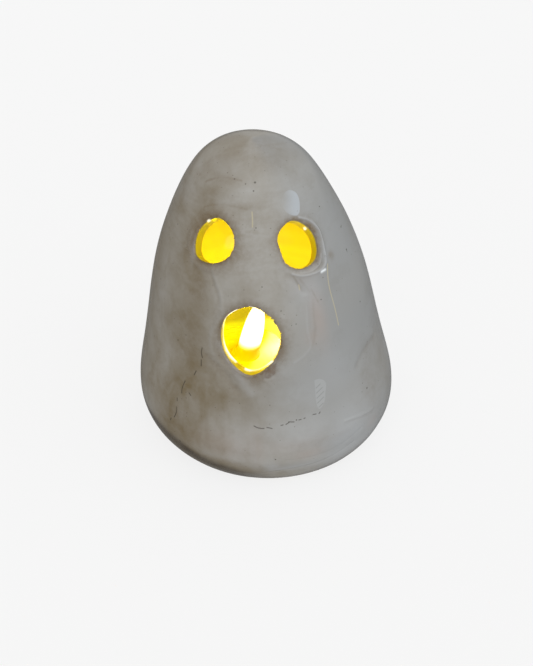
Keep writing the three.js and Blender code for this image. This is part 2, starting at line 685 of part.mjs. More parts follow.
// The two rails that guide the switch slider, each with a lip over its flange
function switchRails() {
  const length = FLANGE_LENGTH / 2 + SWITCH_X;
  const near = FLANGE_WIDTH / 2 + RUNNING;
  const far = near + RAIL_THICKNESS;
  const lipBottom = SLIDER_TOP + RUNNING;
  const lipTop = lipBottom + RAIL_LIP_THICKNESS;
  return [-1, 1].flatMap((side) => [
    block([-length, SWITCH_Y + side * near, BASE_BOTTOM], [length, SWITCH_Y + side * far, lipTop]),
    block([-length, SWITCH_Y + side * (near - RAIL_LIP), lipBottom], [length, SWITCH_Y + side * far, lipTop]),
  ]);
}

// The base plate, one moulding: floor, battery well, shelf, seat for the light-emitting diode, posts for the
// flame, screw boss, hinge lugs and switch rails
function basePlate() {
  const lugTop = BASE_TOP + HINGE_LUG_HEIGHT;
  const slotBack = HINGE_X - HINGE_BARREL_RADIUS - SEAT;
  const slotFront = HINGE_X + HINGE_BARREL_RADIUS + SEAT;
  const lugs = [-1, 1].map((side) =>
    block(
      [slotBack, CELL_Y + side * LUG_START, BASE_BOTTOM],
      [-CELL_RADIUS, CELL_Y + side * (LUG_START + HINGE_LUG_WIDTH), lugTop],
    ),
  );
  const screwTop = BASE_BOTTOM + SCREW_LENGTH + SEAT;
  const posts = POST_ANGLES.map((degrees) => {
    const angle = THREE.MathUtils.degToRad(degrees);
    const x = POST_CIRCLE * Math.cos(angle);
    const y = POST_CIRCLE * Math.sin(angle);
    return post(POST_RADIUS, ROOF_BOTTOM, FLAME_BOTTOM - RUNNING, x, y, 12);
  });
  const whole = joined(
    post(BASE_RADIUS, BASE_BOTTOM, BASE_TOP, 0, 0, 48),
    post(WELL_OUTER, BASE_BOTTOM, ROOF_TOP, 0, CELL_Y, 48),
    post(SHELF_RADIUS, ROOF_BOTTOM, ROOF_TOP, 0, 0, 36),
    post(LED_FLANGE_RADIUS + LED_SEAT_WALL, ROOF_BOTTOM, LED_SEAT_TOP),
    post(SCREW_HOLE_RADIUS + SCREW_BOSS_WALL, BASE_BOTTOM, screwTop + SCREW_BOSS_WALL, SCREW_X, CELL_Y),
    ...posts,
    ...lugs,
    ...switchRails(),
  );

  const below = BASE_BOTTOM - 1;
  const pinReach = 2 * (LUG_START + HINGE_PIN_LENGTH);
  const slotHalf = SWITCH_X + KNOB_LENGTH / 2 + KNOB_SLOT_GAP;
  const knobHalf = KNOB_WIDTH / 2 + KNOB_SLOT_GAP;
  const stripHalf = STRIP_WIDTH / 2 + SEAT;
  const leadHalf = LEAD_THICKNESS / 2 + SEAT;
  const wallStart = CELL_Y + Math.sqrt(WELL_RADIUS ** 2 - (STRIP_X + stripHalf) ** 2) - SEAT;
  return cut(
    whole,
    post(WELL_RADIUS, below, ROOF_BOTTOM, 0, CELL_Y, 48),
    doorPlan(DOOR_CLEARANCE, below, DOOR_TOP + RUNNING),
    block([slotBack, CELL_Y - LUG_START, below], [slotFront, CELL_Y + LUG_START, lugTop + 1]),
    rod(HINGE_PIN_RADIUS + RUNNING, pinReach, HINGE_X, HINGE_Z, 16),
    post(SCREW_HOLE_RADIUS, below, screwTop, SCREW_X, CELL_Y, 20),
    block([-slotHalf, SWITCH_Y - knobHalf, below], [slotHalf, SWITCH_Y + knobHalf, BASE_TOP + 1]),
    block(
      [STRIP_X - stripHalf, wallStart, BASE_TOP + RUNNING],
      [STRIP_X + stripHalf, CELL_Y + WELL_OUTER, ROOF_BOTTOM],
    ),
    block(
      [-LEAD_X - leadHalf, -leadHalf, ANODE_LEVEL - leadHalf],
      [-LEAD_X + leadHalf, LED_FLANGE_RADIUS + 2 * LED_SEAT_WALL, LED_BOTTOM],
    ),
    block([LEAD_X - leadHalf, -leadHalf, CELL_TOP], [LEAD_X + leadHalf, leadHalf, LED_BOTTOM]),
  ).intersect(post(BASE_RADIUS, below, POOL_LEVEL, 0, 0, 48));
}

// The switch slider: a grooved knob under the base plate and a flange that runs between the rails
function switchSlider() {
  const knob = block(
    [SWITCH_X - KNOB_LENGTH / 2, SWITCH_Y - KNOB_WIDTH / 2, KNOB_FLOOR_GAP],
    [SWITCH_X + KNOB_LENGTH / 2, SWITCH_Y + KNOB_WIDTH / 2, SLIDER_TOP],
  );
  const flange = block(
    [SWITCH_X - FLANGE_LENGTH / 2, SWITCH_Y - FLANGE_WIDTH / 2, SLIDER_BOTTOM],
    [SWITCH_X + FLANGE_LENGTH / 2, SWITCH_Y + FLANGE_WIDTH / 2, SLIDER_TOP],
  );
  const pegs = [-1, 1].map((side) =>
    post(PEG_RADIUS, SLIDER_BOTTOM, SLIDER_TOP + STRIP, SWITCH_X + (side * PEG_PITCH) / 2, SWITCH_Y, 10),
  );
  const ridge = KNOB_LENGTH / 5;
  const grooves = [-1, 1].map((side) => {
    const x = SWITCH_X + side * ridge;
    return block(
      [x - ridge / 2, SWITCH_Y - KNOB_WIDTH, KNOB_FLOOR_GAP - 1],
      [x + ridge / 2, SWITCH_Y + KNOB_WIDTH, KNOB_FLOOR_GAP + SEAT],
    );
  });
  return cut(joined(knob, flange, ...pegs), ...grooves);
}

// The metal bridge on the slider, whose raised ends join the anode lead and the positive contact
function switchBridge() {
  const end = BRIDGE_LENGTH / 2;
  const raised = BRIDGE_TOP - STRIP / 2;
  const lying = SLIDER_TOP + (RUNNING + STRIP) / 2;
  const half = [
    [end, raised],
    [end - BRIDGE_END, raised],
    [end - BRIDGE_END - BRIDGE_RAMP, lying],
  ];
  const pegHoles = [-1, 1].map((side) => {
    const x = SWITCH_X + (side * PEG_PITCH) / 2;
    return post(PEG_RADIUS + RUNNING, SLIDER_BOTTOM, BRIDGE_TOP + 1, x, SWITCH_Y, 10);
  });
  return cut(acrossY(bentStrip(bothSides(half, SWITCH_X), STRIP), SWITCH_Y, BRIDGE_WIDTH), ...pegHoles);
}

// The strip from the side of the battery to the switch
function positiveContact() {
  const side = CELL_Y + Math.sqrt(CELL_RADIUS ** 2 - (STRIP_X - STRIP_WIDTH / 2) ** 2) + RUNNING + STRIP / 2;
  const level = CONTACT_LEVEL + STRIP / 2;
  const path = [
    [side, BASE_TOP + SEAT],
    [side, level],
    [SWITCH_Y + BRIDGE_WIDTH / 2, level],
  ];
  return acrossX(bentStrip(path, STRIP), STRIP_X, STRIP_WIDTH);
}

// The sprung strip between the roof of the well and the top of the battery
function negativeContact() {
  const high = ROOF_BOTTOM - RUNNING - STRIP / 2;
  const low = CELL_TOP + RUNNING + STRIP / 2;
  const half = [
    [SPRING_LENGTH / 2, high],
    [SPRING_BOW / 2, high],
    [SPRING_FLAT / 2, low],
  ];
  return acrossX(bentStrip(bothSides(half, CELL_Y), STRIP), 0, SPRING_WIDTH);
}

// The battery's steel can, crimped inwards at the top
function cellCan() {
  const crimp = CELL_TOP - CELL_SHEET;
  const inside = CELL_RADIUS - CELL_SHEET;
  return revolved(
    [
      [0, CELL_BOTTOM],
      [inside, CELL_BOTTOM],
      [CELL_RADIUS, CELL_BOTTOM + CELL_SHEET],
      [CELL_RADIUS, crimp - CELL_SHEET],
      [inside, crimp],
      [inside - CELL_SHEET, crimp],
      [inside, crimp - CELL_SHEET],
      [inside, CELL_BOTTOM + CELL_SHEET],
      [0, CELL_BOTTOM + CELL_SHEET],
    ],
    44,
    0,
    CELL_Y,
  );
}

// The insulating ring between the battery's can and cap
function cellSeal() {
  const outer = CELL_RADIUS - CELL_SHEET - RUNNING;
  const bottom = CELL_BOTTOM + CELL_SHEET + RUNNING;
  const top = CELL_TOP - 2 * CELL_SHEET - RUNNING;
  const profile = [
    [outer - CELL_SEAL, bottom],
    [outer, bottom],
    [outer, top],
    [outer - CELL_SEAL, top],
    [outer - CELL_SEAL, bottom],
  ];
  return revolved(profile, 44, 0, CELL_Y);
}

// The battery's cap, with its slightly raised middle
function cellCap() {
  const radius = CELL_RADIUS - CELL_SHEET - CELL_SEAL - 2 * RUNNING;
  const bottom = CELL_BOTTOM + CELL_SHEET + RUNNING;
  const profile = [
    [0, bottom],
    [radius, bottom],
    [radius, CELL_TOP - 2 * CELL_SHEET],
    [radius - 3 * CELL_SHEET, CELL_TOP - CELL_SHEET],
    [radius - 5 * CELL_SHEET, CELL_TOP],
    [0, CELL_TOP],
  ];
  return revolved(profile, 44, 0, CELL_Y);
}

// A named mesh of a solid in one material
function piece(name, made, material) {
  const mesh = new THREE.Mesh(geometryOf(made), material);
  mesh.name = name;
  return mesh;
}

const tealight = new THREE.Group();
tealight.position.set(TEALIGHT_X, TEALIGHT_Y, 0);
tealight.add(
  piece("candle_housing", candleHousing(), whitePlastic),
  piece("flame_lens", flameLens(), flamePlastic),
  piece("led_body", ledBody(), ledEpoxy),
  piece("led_anode_lead", anodeLead(), springSteel),
  piece("led_cathode_lead", cathodeLead(), springSteel),
  piece("base_plate", basePlate(), whitePlastic),
  piece("battery_door", batteryDoor(), whitePlastic),
  piece("door_screw", doorScrew(), springSteel),
  piece("switch_slider", switchSlider(), darkPlastic),
  piece("switch_bridge", switchBridge(), springSteel),
  piece("positive_contact", positiveContact(), springSteel),
  piece("negative_contact", negativeContact(), springSteel),
  piece("battery_can", cellCan(), cellSteel),
  piece("battery_seal", cellSeal(), sealRubber),
  piece("battery_cap", cellCap(), cellSteel),
);

const ghostLight = new THREE.Group();
ghostLight.add(piece("ghost_shell", ghostShell(), glaze), tealight);

export default ghostLight;
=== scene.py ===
# Looks of the LED ghost light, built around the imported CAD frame. Blender works in metres. The ghost's shape
# is worked out in millimetres, as in the CAD source, and scaled by MM when it becomes a mesh.

import math

import bmesh
import bpy
import numpy as np
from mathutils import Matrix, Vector


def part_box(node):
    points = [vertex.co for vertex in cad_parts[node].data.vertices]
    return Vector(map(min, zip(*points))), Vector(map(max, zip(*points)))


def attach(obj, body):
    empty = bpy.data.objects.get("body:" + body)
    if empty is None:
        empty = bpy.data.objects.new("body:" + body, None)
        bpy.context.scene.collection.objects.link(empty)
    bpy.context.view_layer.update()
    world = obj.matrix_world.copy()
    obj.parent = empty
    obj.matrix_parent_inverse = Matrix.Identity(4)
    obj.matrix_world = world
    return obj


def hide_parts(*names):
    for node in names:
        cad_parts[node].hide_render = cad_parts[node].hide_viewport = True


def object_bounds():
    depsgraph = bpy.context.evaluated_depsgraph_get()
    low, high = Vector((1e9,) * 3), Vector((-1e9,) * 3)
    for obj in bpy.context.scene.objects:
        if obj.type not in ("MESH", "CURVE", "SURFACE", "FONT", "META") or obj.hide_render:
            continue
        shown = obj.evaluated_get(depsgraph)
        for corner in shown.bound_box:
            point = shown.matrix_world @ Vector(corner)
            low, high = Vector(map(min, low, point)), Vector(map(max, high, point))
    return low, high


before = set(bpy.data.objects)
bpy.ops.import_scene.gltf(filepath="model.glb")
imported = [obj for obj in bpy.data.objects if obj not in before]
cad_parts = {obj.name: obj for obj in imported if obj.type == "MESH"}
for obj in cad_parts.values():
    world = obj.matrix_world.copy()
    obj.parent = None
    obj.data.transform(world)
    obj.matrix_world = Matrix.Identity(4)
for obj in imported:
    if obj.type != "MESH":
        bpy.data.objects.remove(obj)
cad_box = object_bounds()
MM = 0.001

# The camera stands where the photograph was taken from, as a fit to the silhouette found it
CAMERA_AT = Vector((0.0019, -0.362, 0.3248))
CAMERA_AIM = Vector((0.0002, 0.0, 0.0397))
LENS = 57.1
SENSOR = 36.0
PHOTO_WIDTH = 533
PHOTO_HEIGHT = 666

camera_data = bpy.data.cameras.new("camera")
camera_data.lens = LENS
camera_data.sensor_width = SENSOR
camera = bpy.data.objects.new("camera", camera_data)
camera.location = CAMERA_AT
camera.rotation_euler = (CAMERA_AIM - CAMERA_AT).to_track_quat("-Z", "Y").to_euler()
bpy.context.scene.collection.objects.link(camera)
bpy.context.scene.camera = camera
bpy.context.scene.view_settings.view_transform = "Standard"

# The ghost's outline, in millimetres. The radii were fitted to the photograph's silhouette by a program and
# rounded.
HEIGHT = 134.0
WALL = 7.0
FOOT_EASE = 1.4
BELLY_HEIGHT = 19.0
CAP_RADIUS = 16.6
BROW_HEIGHT = 99.0
CROWN_LEAN = 5.8
HOLE_EASE = 1.6
LIP = 0.8  # rounding of the glaze at a hole's outer edge
VOXEL = 1.25  # of the first, even remesh of the shell
RIM_DEPTH = 6  # how far below the outer wall the rims are refined
WALL_SEARCH = (330.0, 520.0)  # how far from the camera the outer wall is looked for
STATIONS = [
    (0, 49),
    (6, 53.2),
    (19, 55.9),
    (39, 52.1),
    (59, 47.7),
    (79, 43.2),
    (99, 36.3),
    (118, 26.8),
    (129.3, 16.6),
    (134, 0),
]
# Each hole: across, down from the top, eight reaches, and how far its inner edge sits level and up from the
# outer one. The reaches were traced from the photograph by a program, rounded and then adjusted.
HOLES = {
    "left_eye": (-19.6, 27.6, [7.1, 8.0, 9.1, 8.1, 8.4, 9.8, 8.2, 7.4], (1.5, -1.3)),
    "right_eye": (12.2, 29.3, [8.6, 8.6, 10.0, 8.8, 6.6, 7.5, 8.7, 9.6], (-0.7, -1.9)),
    "mouth": (-6.0, 63.1, [11.0, 11.7, 14.1, 13.1, 11.7, 12.7, 15.2, 12.2], (1.1, 0.2)),
}
THUMB_MARKS = [
    (-52, 62, 17, 0.9),
    (-22, 52, 11, 1.1),
    (24, 84, 12, 0.8),
    (38, 40, 16, -0.8),
    (2, 114, 15, 0.7),
    (-128, 78, 20, 1.0),
    (156, 96, 16, 0.9),
    (118, 58, 19, -0.7),
    (176, 44, 15, 0.8),
]


def natural_spline(xs, ys):
    """Second derivatives of the natural cubic spline through the stations."""
    n = len(xs)
    a = np.eye(n)
    b = np.zeros(n)
    for i in range(1, n - 1):
        before, after = xs[i] - xs[i - 1], xs[i + 1] - xs[i]
        a[i, i - 1 : i + 2] = before, 2 * (before + after), after
        b[i] = 6 * ((ys[i + 1] - ys[i]) / after - (ys[i] - ys[i - 1]) / before)
    return np.linalg.solve(a, b)


XS = np.array([s[0] for s in STATIONS], float)
YS = np.array([s[1] for s in STATIONS], float) ** 2
BENDS = natural_spline(XS, YS)


def radius_at(height):
    """The outer wall's radius at each height."""
    h = np.clip(np.asarray(height, float), 0, HEIGHT)
    i = np.clip(np.searchsorted(XS, h), 1, len(XS) - 1)
    step = XS[i] - XS[i - 1]
    a = (XS[i] - h) / step
    b = 1 - a
    curve = (a**3 - a) * BENDS[i - 1] + (b**3 - b) * BENDS[i]
    return np.sqrt(np.maximum(a * YS[i - 1] + b * YS[i] + curve * step**2 / 6, 0))


def lean_at(height):
    return -CROWN_LEAN * (np.asarray(height, float) - BELLY_HEIGHT) / (HEIGHT - BELLY_HEIGHT)


def profile_normal(height):
    """The outer wall's normal in its profile: outwards and upwards."""
    low = np.maximum(np.asarray(height, float) - 0.05, 0)
    high = np.minimum(low + 0.1, HEIGHT)
    across, up = radius_at(high) - radius_at(low), high - low
    size = np.hypot(across, up)
    return up / size, -across / size


def pressed(azimuth, height):
    """How deep the thumb marks press at an azimuth in radians from the face."""
    around = radius_at(np.minimum(height, BROW_HEIGHT))
    depth = np.zeros(np.broadcast(azimuth, height).shape)
    for mark, level, spread, deep in THUMB_MARKS:
        turn = azimuth - math.radians(mark)
        arc = around * np.arctan2(np.sin(turn), np.cos(turn))
        depth = depth + deep * np.exp(-(arc**2 + (height - level) ** 2) / spread**2)
    return depth


def smooth(x, low, high):
    t = np.clip((np.asarray(x, float) - low) / (high - low), 0, 1)
    return t * t * (3 - 2 * t)


def mesh_of(name, vertices, faces):
    """A mesh object from points in millimetres."""
    data = bpy.data.meshes.new(name)
    data.from_pydata([tuple(v) for v in np.asarray(vertices, float) * MM], [], faces)
    data.update()
    made = bpy.data.objects.new(name, data)
    bpy.context.scene.collection.objects.link(made)
    return made


def skin(name, rings, first, last):
    """A closed mesh over rings of equally many points, with a tip at either end."""
    count = len(rings[0])
    vertices = np.concatenate([*rings, [first], [last]])
    start = len(rings) * count
    side = np.arange(count)
    following = (side + 1) % count
    faces = []
    for level in range(len(rings) - 1):
        a, b = level * count + side, level * count + following
        faces += np.stack([a, b, b + count, a + count], 1).tolist()
    end = start - count
    faces += np.stack([np.full(count, start), following, side], 1).tolist()
    faces += np.stack([np.full(count, start + 1), end + side, end + following], 1).tolist()
    return mesh_of(name, vertices, faces)


def corner(radius, height, size, start, stop, steps):
    angles = np.radians(np.linspace(start, stop, steps + 1))
    return [(radius + size * math.cos(a), height + size * math.sin(a)) for a in angles]


def ghost_dome():
    """The hollow dome before the face is cut."""
    sides, levels = 256, 150
    share = np.sin(np.arange(levels) / levels * (math.pi / 2)) ** 2
    height = FOOT_EASE + (HEIGHT - FOOT_EASE) * share
    out, up = profile_normal(height)
    rise = up * smooth(height, 0, BELLY_HEIGHT)
    run = np.hypot(out, rise)
    outer = list(zip(radius_at(height), height))
    inner = list(zip(radius_at(height) - WALL * out / run, height - WALL * rise / run))
    foot_in = corner(inner[0][0] + FOOT_EASE, FOOT_EASE, FOOT_EASE, 195, 270, 8)
    foot_out = corner(outer[0][0] - FOOT_EASE, FOOT_EASE, FOOT_EASE, -90, -15, 8)
    azimuth = np.arange(sides) / sides * 2 * math.pi
    rings = []
    for r, h in inner[::-1] + foot_in + foot_out + outer:
        pulled = r - pressed(azimuth, h) * min(r / CAP_RADIUS, 1)
        x = lean_at(h) + pulled * np.sin(azimuth)
        rings.append(np.stack([x, -pulled * np.cos(azimuth), np.full(sides, h)], 1))
    tip = float(lean_at(HEIGHT))
    return skin("dome", rings, (tip, 0, HEIGHT - WALL), (tip, 0, HEIGHT))


def closed_curve(points, count):
    """A centripetal Catmull-Rom curve round closed control points, sampled evenly by control point."""
    p = np.asarray(points, float)
    n = len(p)
    made = []
    for sample in range(count):
        at = sample / count * n
        i, t = int(at), at - int(at)
        a, b, c, d = p[(i - 1) % n], p[i % n], p[(i + 1) % n], p[(i + 2) % n]
        ab, bc, cd = (np.linalg.norm(q) ** 0.5 for q in (b - a, c - b, d - c))
        leave = ((b - a) / ab - (c - a) / (ab + bc) + (c - b) / bc) * bc
        reach = ((c - b) / bc - (d - b) / (bc + cd) + (d - c) / cd) * bc
        made.append(
            (2 * t**3 - 3 * t**2 + 1) * b
            + (t**3 - 2 * t**2 + t) * leave
            + (3 * t**2 - 2 * t**3) * c
            + (t**3 - t**2) * reach
        )
    return np.array(made)


def hole_frame(x, drop):
    """Where a hole's middle lies on the wall, with the directions outwards, level and up the wall."""
    height = HEIGHT - drop
    radius = float(radius_at(height))
    azimuth = math.asin((x - float(lean_at(height))) / radius)
    out, up = (float(v) for v in profile_normal(height))
    middle = np.array([x, -radius * math.cos(azimuth), height])
    normal = np.array([out * math.sin(azimuth), -out * math.cos(azimuth), up])
    level = np.cross([0, 0, 1], normal)
    level /= np.linalg.norm(level)
    return middle, normal, level, np.cross(normal, level)


def hole_edge(name):
    """The points of a hole's edge, as distances level and up the wall from its middle."""
    reach = np.array(HOLES[name][2])
    angles = np.arange(len(reach)) / len(reach) * 2 * math.pi
    return closed_curve(np.stack([reach * np.cos(angles), reach * np.sin(angles)], 1), 96)


def hole_cutter(name):
    """A tunnel square to the wall, flared where the glaze rounds its two edges."""
    x, drop, _, lean = HOLES[name]
    middle, normal, level, rise = hole_frame(x, drop)
    edge = hole_edge(name)
    depths = [(-3 * WALL, HOLE_EASE), (-WALL, HOLE_EASE)]
    for part in (0.15, 0.3, 0.5, 0.75):
        turn = part * math.pi / 2
        depths.append((HOLE_EASE * (1 - math.cos(turn)) - WALL, HOLE_EASE * (1 - math.sin(turn))))
    depths += [(HOLE_EASE - WALL, 0), (-LIP, 0)]
    depths += [(0, LIP), (2 * WALL, LIP)]
    rings = []
    for depth, flare in depths:
        size = np.linalg.norm(edge, axis=1, keepdims=True)
        ring = edge * (size + flare) / size
        ring = ring + np.array(lean) * max(-depth / WALL, 0)
        rings.append(middle + normal * depth + ring[:, :1] * level + ring[:, 1:] * rise)
    return skin("cut_" + name, rings, rings[0].mean(0), rings[-1].mean(0))


def applied(made, name):
    """A new object holding the result of an object's modifiers."""
    graph = bpy.context.evaluated_depsgraph_get()
    data = bpy.data.meshes.new_from_object(made.evaluated_get(graph))
    done = bpy.data.objects.new(name, data)
    bpy.context.scene.collection.objects.link(done)
    return done


def ghost_mesh():
    """The shell with its face cut, remeshed so that every cut edge is soft."""
    dome = ghost_dome()
    cutters = [hole_cutter(name) for name in HOLES]
    for cutter in cutters:
        step = dome.modifiers.new(cutter.name, "BOOLEAN")
        step.object = cutter
        step.operation = "DIFFERENCE"
        step.solver = "EXACT"
    remesh = dome.modifiers.new("remesh", "REMESH")
    remesh.mode = "VOXEL"
    remesh.voxel_size = VOXEL * MM
    soften = dome.modifiers.new("soften", "SMOOTH")
    soften.factor = 0.5
    soften.iterations = 5
    done = applied(dome, "ghost")
    for extra in (dome, *cutters):
        bpy.data.objects.remove(extra)
    return done


# Places on the glaze, given as pixels of the photograph and carried along the line of sight to the wall
EYE = np.array(CAMERA_AT) / MM
FORWARD = np.array((CAMERA_AIM - CAMERA_AT).normalized())
RIGHT = np.cross(FORWARD, (0, 0, 1))
RIGHT /= np.linalg.norm(RIGHT)
UP = np.cross(RIGHT, FORWARD)
FOCAL = LENS / SENSOR * PHOTO_HEIGHT


def depth_below(points):
    """How deep points lie below the thumbed outer wall, in millimetres, square to it."""
    height = np.clip(points[:, 2], 0, HEIGHT - 0.01)
    x = points[:, 0] - lean_at(height)
    radius = np.hypot(x, points[:, 1])
    wall = radius_at(height)
    azimuth = np.arctan2(x, -points[:, 1])
    pulled = np.maximum(wall - pressed(azimuth, height) * np.minimum(wall / CAP_RADIUS, 1), 0)
    slope = (radius_at(height + 0.01) ** 2 - radius_at(height - 0.01) ** 2) / 0.02
    return (pulled**2 - radius**2) / np.hypot(2 * np.maximum(radius, 0.5), slope)


def on_wall(pixels):
    """The points of the outer wall that show at pixels of the photograph, in millimetres."""
    pixels = np.asarray(pixels, float)
    across = (pixels[:, :1] - PHOTO_WIDTH / 2) / FOCAL
    down = (pixels[:, 1:] - PHOTO_HEIGHT / 2) / FOCAL
    rays = FORWARD + RIGHT * across - UP * down
    rays /= np.linalg.norm(rays, axis=1, keepdims=True)
    steps = np.arange(*WALL_SEARCH)
    along = EYE + rays[:, None] * steps[:, None]
    inside = depth_below(along.reshape(-1, 3)).reshape(len(rays), -1) > 0
    inside &= along[:, :, 2] < HEIGHT
    if not inside.any(1).all():
        raise ValueError(f"no wall at pixel {pixels[~inside.any(1)][0]}")
    far = steps[inside.argmax(1)]
    near = far - 1
    for _ in range(20):
        middle = (near + far) / 2
        hit = depth_below(EYE + rays * middle[:, None]) > 0
        far = np.where(hit, middle, far)
        near = np.where(hit, near, middle)
    return EYE + rays * far[:, None]


def seen(points):
    """The pixels of the photograph at which points appear."""
    away = points - EYE
    scale = FOCAL / (away @ FORWARD)
    return np.stack([PHOTO_WIDTH / 2 + scale * (away @ RIGHT), PHOTO_HEIGHT / 2 - scale * (away @ UP)], 1)


def line(*pixels):
    """A smooth line on the wall through pixels of the photograph."""
    p = np.array(pixels, float)
    at = np.concatenate([[0], np.cumsum(np.linalg.norm(np.diff(p, axis=0), axis=1))])
    s = np.linspace(0, at[-1], max(int(at[-1] / 2), 2))
    made = []
    for axis in (0, 1):
        bends = natural_spline(at, p[:, axis])
        i = np.clip(np.searchsorted(at, s), 1, len(at) - 1)
        step = at[i] - at[i - 1]
        a = (at[i] - s) / step
        b = 1 - a
        curve = (a**3 - a) * bends[i - 1] + (b**3 - b) * bends[i]
        made.append(a * p[i - 1, axis] + b * p[i, axis] + curve * step**2 / 6)
    return on_wall(np.stack(made, 1))


RIDGES = {
    # raised edges of thicker glaze, and one painted reflection with no height: points, half width, height,
    # paleness
    "right_eye_lip": (
        line((299, 217.5), (308, 220), (314, 224.5), (318.5, 230), (321.5, 238), (323.5, 246), (325, 255)),
        0.5, 0.34, 0.55,
    ),
    "right_eye_fold": (line((305, 217), (311, 220), (316, 225), (319, 231), (320.5, 238)), 0.35, 0.18, 0.3),
    "right_eye_drip": (
        line((325, 255), (325.5, 263), (322, 269), (315, 273), (306, 275.5), (298, 275.5), (292, 274)),
        0.55, 0.34, 0.5,
    ),
    "right_eye_curl": (line((321, 254), (320, 262), (316, 268), (309, 272), (300, 273)), 0.4, 0.2, 0.3),
    "right_run": (
        line((306, 296), (307, 316), (308, 334), (310, 347), (303, 357), (294, 363)),
        0.6, 0.14, 0.2,
    ),
    "mouth_left_run": (
        line((213, 268), (216, 282), (221, 297), (221, 311), (214, 326), (210, 340), (213, 354)),
        0.8, 0.16, 0.1,
    ),
    "chin_left": (line((221, 345), (226, 356), (234, 368), (243, 382), (252, 393)), 2.0, 0.3, 0.3),
    "base_right": (line((345, 421), (355, 417), (363, 414), (372, 409)), 0.7, 0.3, 0.24),
    # no height: a painted reflection along the foot
    "painted_foot_sheen": (line((270, 470), (300, 465.5), (328, 456), (352, 441), (370, 420)), 1.4, 0.0, 0.25),
    "base_low": (line((296, 440), (318, 439), (338, 434), (353, 426)), 1.2, 0.14, 0.08),
    "left_eye_lip": (line((192, 232), (189.5, 243), (192, 256), (199, 266), (210, 271)), 1.0, 0.14, 0.1),
}
CREASES = {
    "chin_crease": (line((205, 356), (213, 363), (222, 371), (230, 381), (237, 391)), 1.8, 0.45),
    "eye_crease": (line((290, 277), (297, 285), (303, 292)), 1.2, 0.25),
    "jaw_crease": (line((357, 366), (362, 355), (368, 345), (374, 337)), 1.6, 0.35),
    "left_run_crease": (line((210, 272), (215, 288), (218, 300), (213, 314)), 0.8, 0.14),
    "foot_crease": (line((262, 473), (300, 467), (330, 457), (354, 441)), 0.5, 0.16),
    "foot_fold": (line((285, 461), (315, 456), (340, 445), (362, 427)), 0.6, 0.12),
    "mouth_chip": (line((266, 379), (272, 377), (275, 373), (275.5, 366)), 0.7, 0.35),
}
CRACKS = [
    line((202, 348), (201, 354), (202, 358)),
    line((201, 360), (201, 366)),
    line((194, 375), (196, 371)),
    line((185, 381), (182, 388), (181.5, 393)),
    line((177, 398), (177, 401)),
    line((176.5, 407), (176, 413), (174, 417)),
    line((170, 420), (171, 418)),
    line((254, 426), (258, 428), (264, 428.5)),
    line((267, 427.5), (272, 428.5)),
    line((281, 425.5), (283, 425)),
    line((286, 424.5), (289, 422.5)),
    line((290, 422), (294, 422)),
    line((299, 420), (301, 419.5)),
    line((304, 418.5), (305, 418)),
    line((313, 414.5), (316, 414)),
    line((319, 413.5), (320, 412)),
    line((189, 393), (190.5, 395.5)),
]
SCRATCHES = [
    line((252, 212), (252.5, 220), (252.5, 227)),
    line((327.5, 264), (328, 278), (330, 290), (333, 301), (336, 313), (338.5, 325)),
    line((299, 285), (300, 290)),
]
HATCHES = [
    line((316, 388), (320, 384)),
    line((316.5, 393), (322, 387.5)),
    line((317, 398), (323.5, 391.5)),
    line((317.5, 403), (323.5, 397)),
    line((319, 407), (323, 403)),
]
BRUSHED_AND_CREASE_SHADE = [
    # thin brown strokes left by the brush, and painted shade along creases: points, half width, strength
    (line((206, 181.5), (214, 178.5), (228, 178), (241, 180.5)), 0.5, 0.7),
    (line((206, 184), (212, 190), (222, 196), (236, 199)), 0.9, 0.2),
    (line((246, 141), (262, 146), (280, 150)), 1.3, 0.3),
    (line((225, 150), (240, 146), (254, 147)), 0.8, 0.3),
    (line((196, 160), (190, 172), (184, 188), (180, 204)), 2.5, 0.22),
    (line((204, 207), (216, 204.5), (232, 206), (247, 209)), 0.5, 0.42),
    (line((212, 213), (224, 211), (240, 214)), 0.5, 0.18),
    (line((199, 218), (204, 213), (211, 210), (218, 211)), 0.5, 0.32),
    (line((222, 159), (240, 153), (262, 147), (282, 143)), 2.0, 0.26),
    (line((236, 160), (252, 158), (268, 159)), 1.0, 0.24),
    (line((291, 273), (297, 282), (302, 291)), 0.4, 0.35),
    (line((311, 289), (316, 298), (318, 302)), 0.35, 0.35),
    (line((303, 221), (311, 226), (316, 235), (319, 246), (320, 257)), 0.75, 0.5),
    (line((296, 271), (305, 269), (313, 265)), 0.5, 0.2),
    # painted shade along the jaw crease and the crease beside the run left of the mouth
    (line((357, 366), (362, 355), (368, 345), (374, 337)), 1.4, 0.25),
    (line((210, 272), (215, 288), (218, 300), (213, 314)), 0.8, 0.2),
    (line((313, 300), (314, 316), (315, 332), (313, 345)), 0.6, 0.18),
    (line((200, 455), (218, 460), (238, 464)), 1.2, 0.25),
    # painted shade along the chin crease
    (line((205, 356), (213, 363), (222, 371), (230, 381), (237, 391)), 1.6, 0.35),
    (line((346, 423), (356, 419), (365, 416), (374, 411)), 0.5, 0.25),
    (line((284, 322), (287, 336), (285, 350), (280, 362)), 0.7, 0.3),
    (line((300, 279), (305, 286), (310, 291)), 0.5, 0.2),
]
SPECKS = [
    (296.5, 420, 0.3),
    (289, 422, 0.3),
    (255, 182.5, 0.42),
    (234.5, 179, 0.28),
    (245.5, 184, 0.25),
    (253.5, 191, 0.3),
    (346.5, 249.5, 0.4),
    (341, 227, 0.3),
    (360, 301.5, 0.32),
    (367, 388, 0.42),
    (180, 441, 0.42),
    (275.5, 459.5, 0.32),
    (281, 311, 0.24),
    (284, 314.5, 0.16),
    (296, 324, 0.22),
    (291.5, 325.5, 0.16),
    (321, 299.5, 0.25),
    (319.5, 206.5, 0.28),
    (256, 228, 0.25),
    (178, 340, 0.3),
    (186, 335, 0.25),
    (262, 287, 0.25),
]


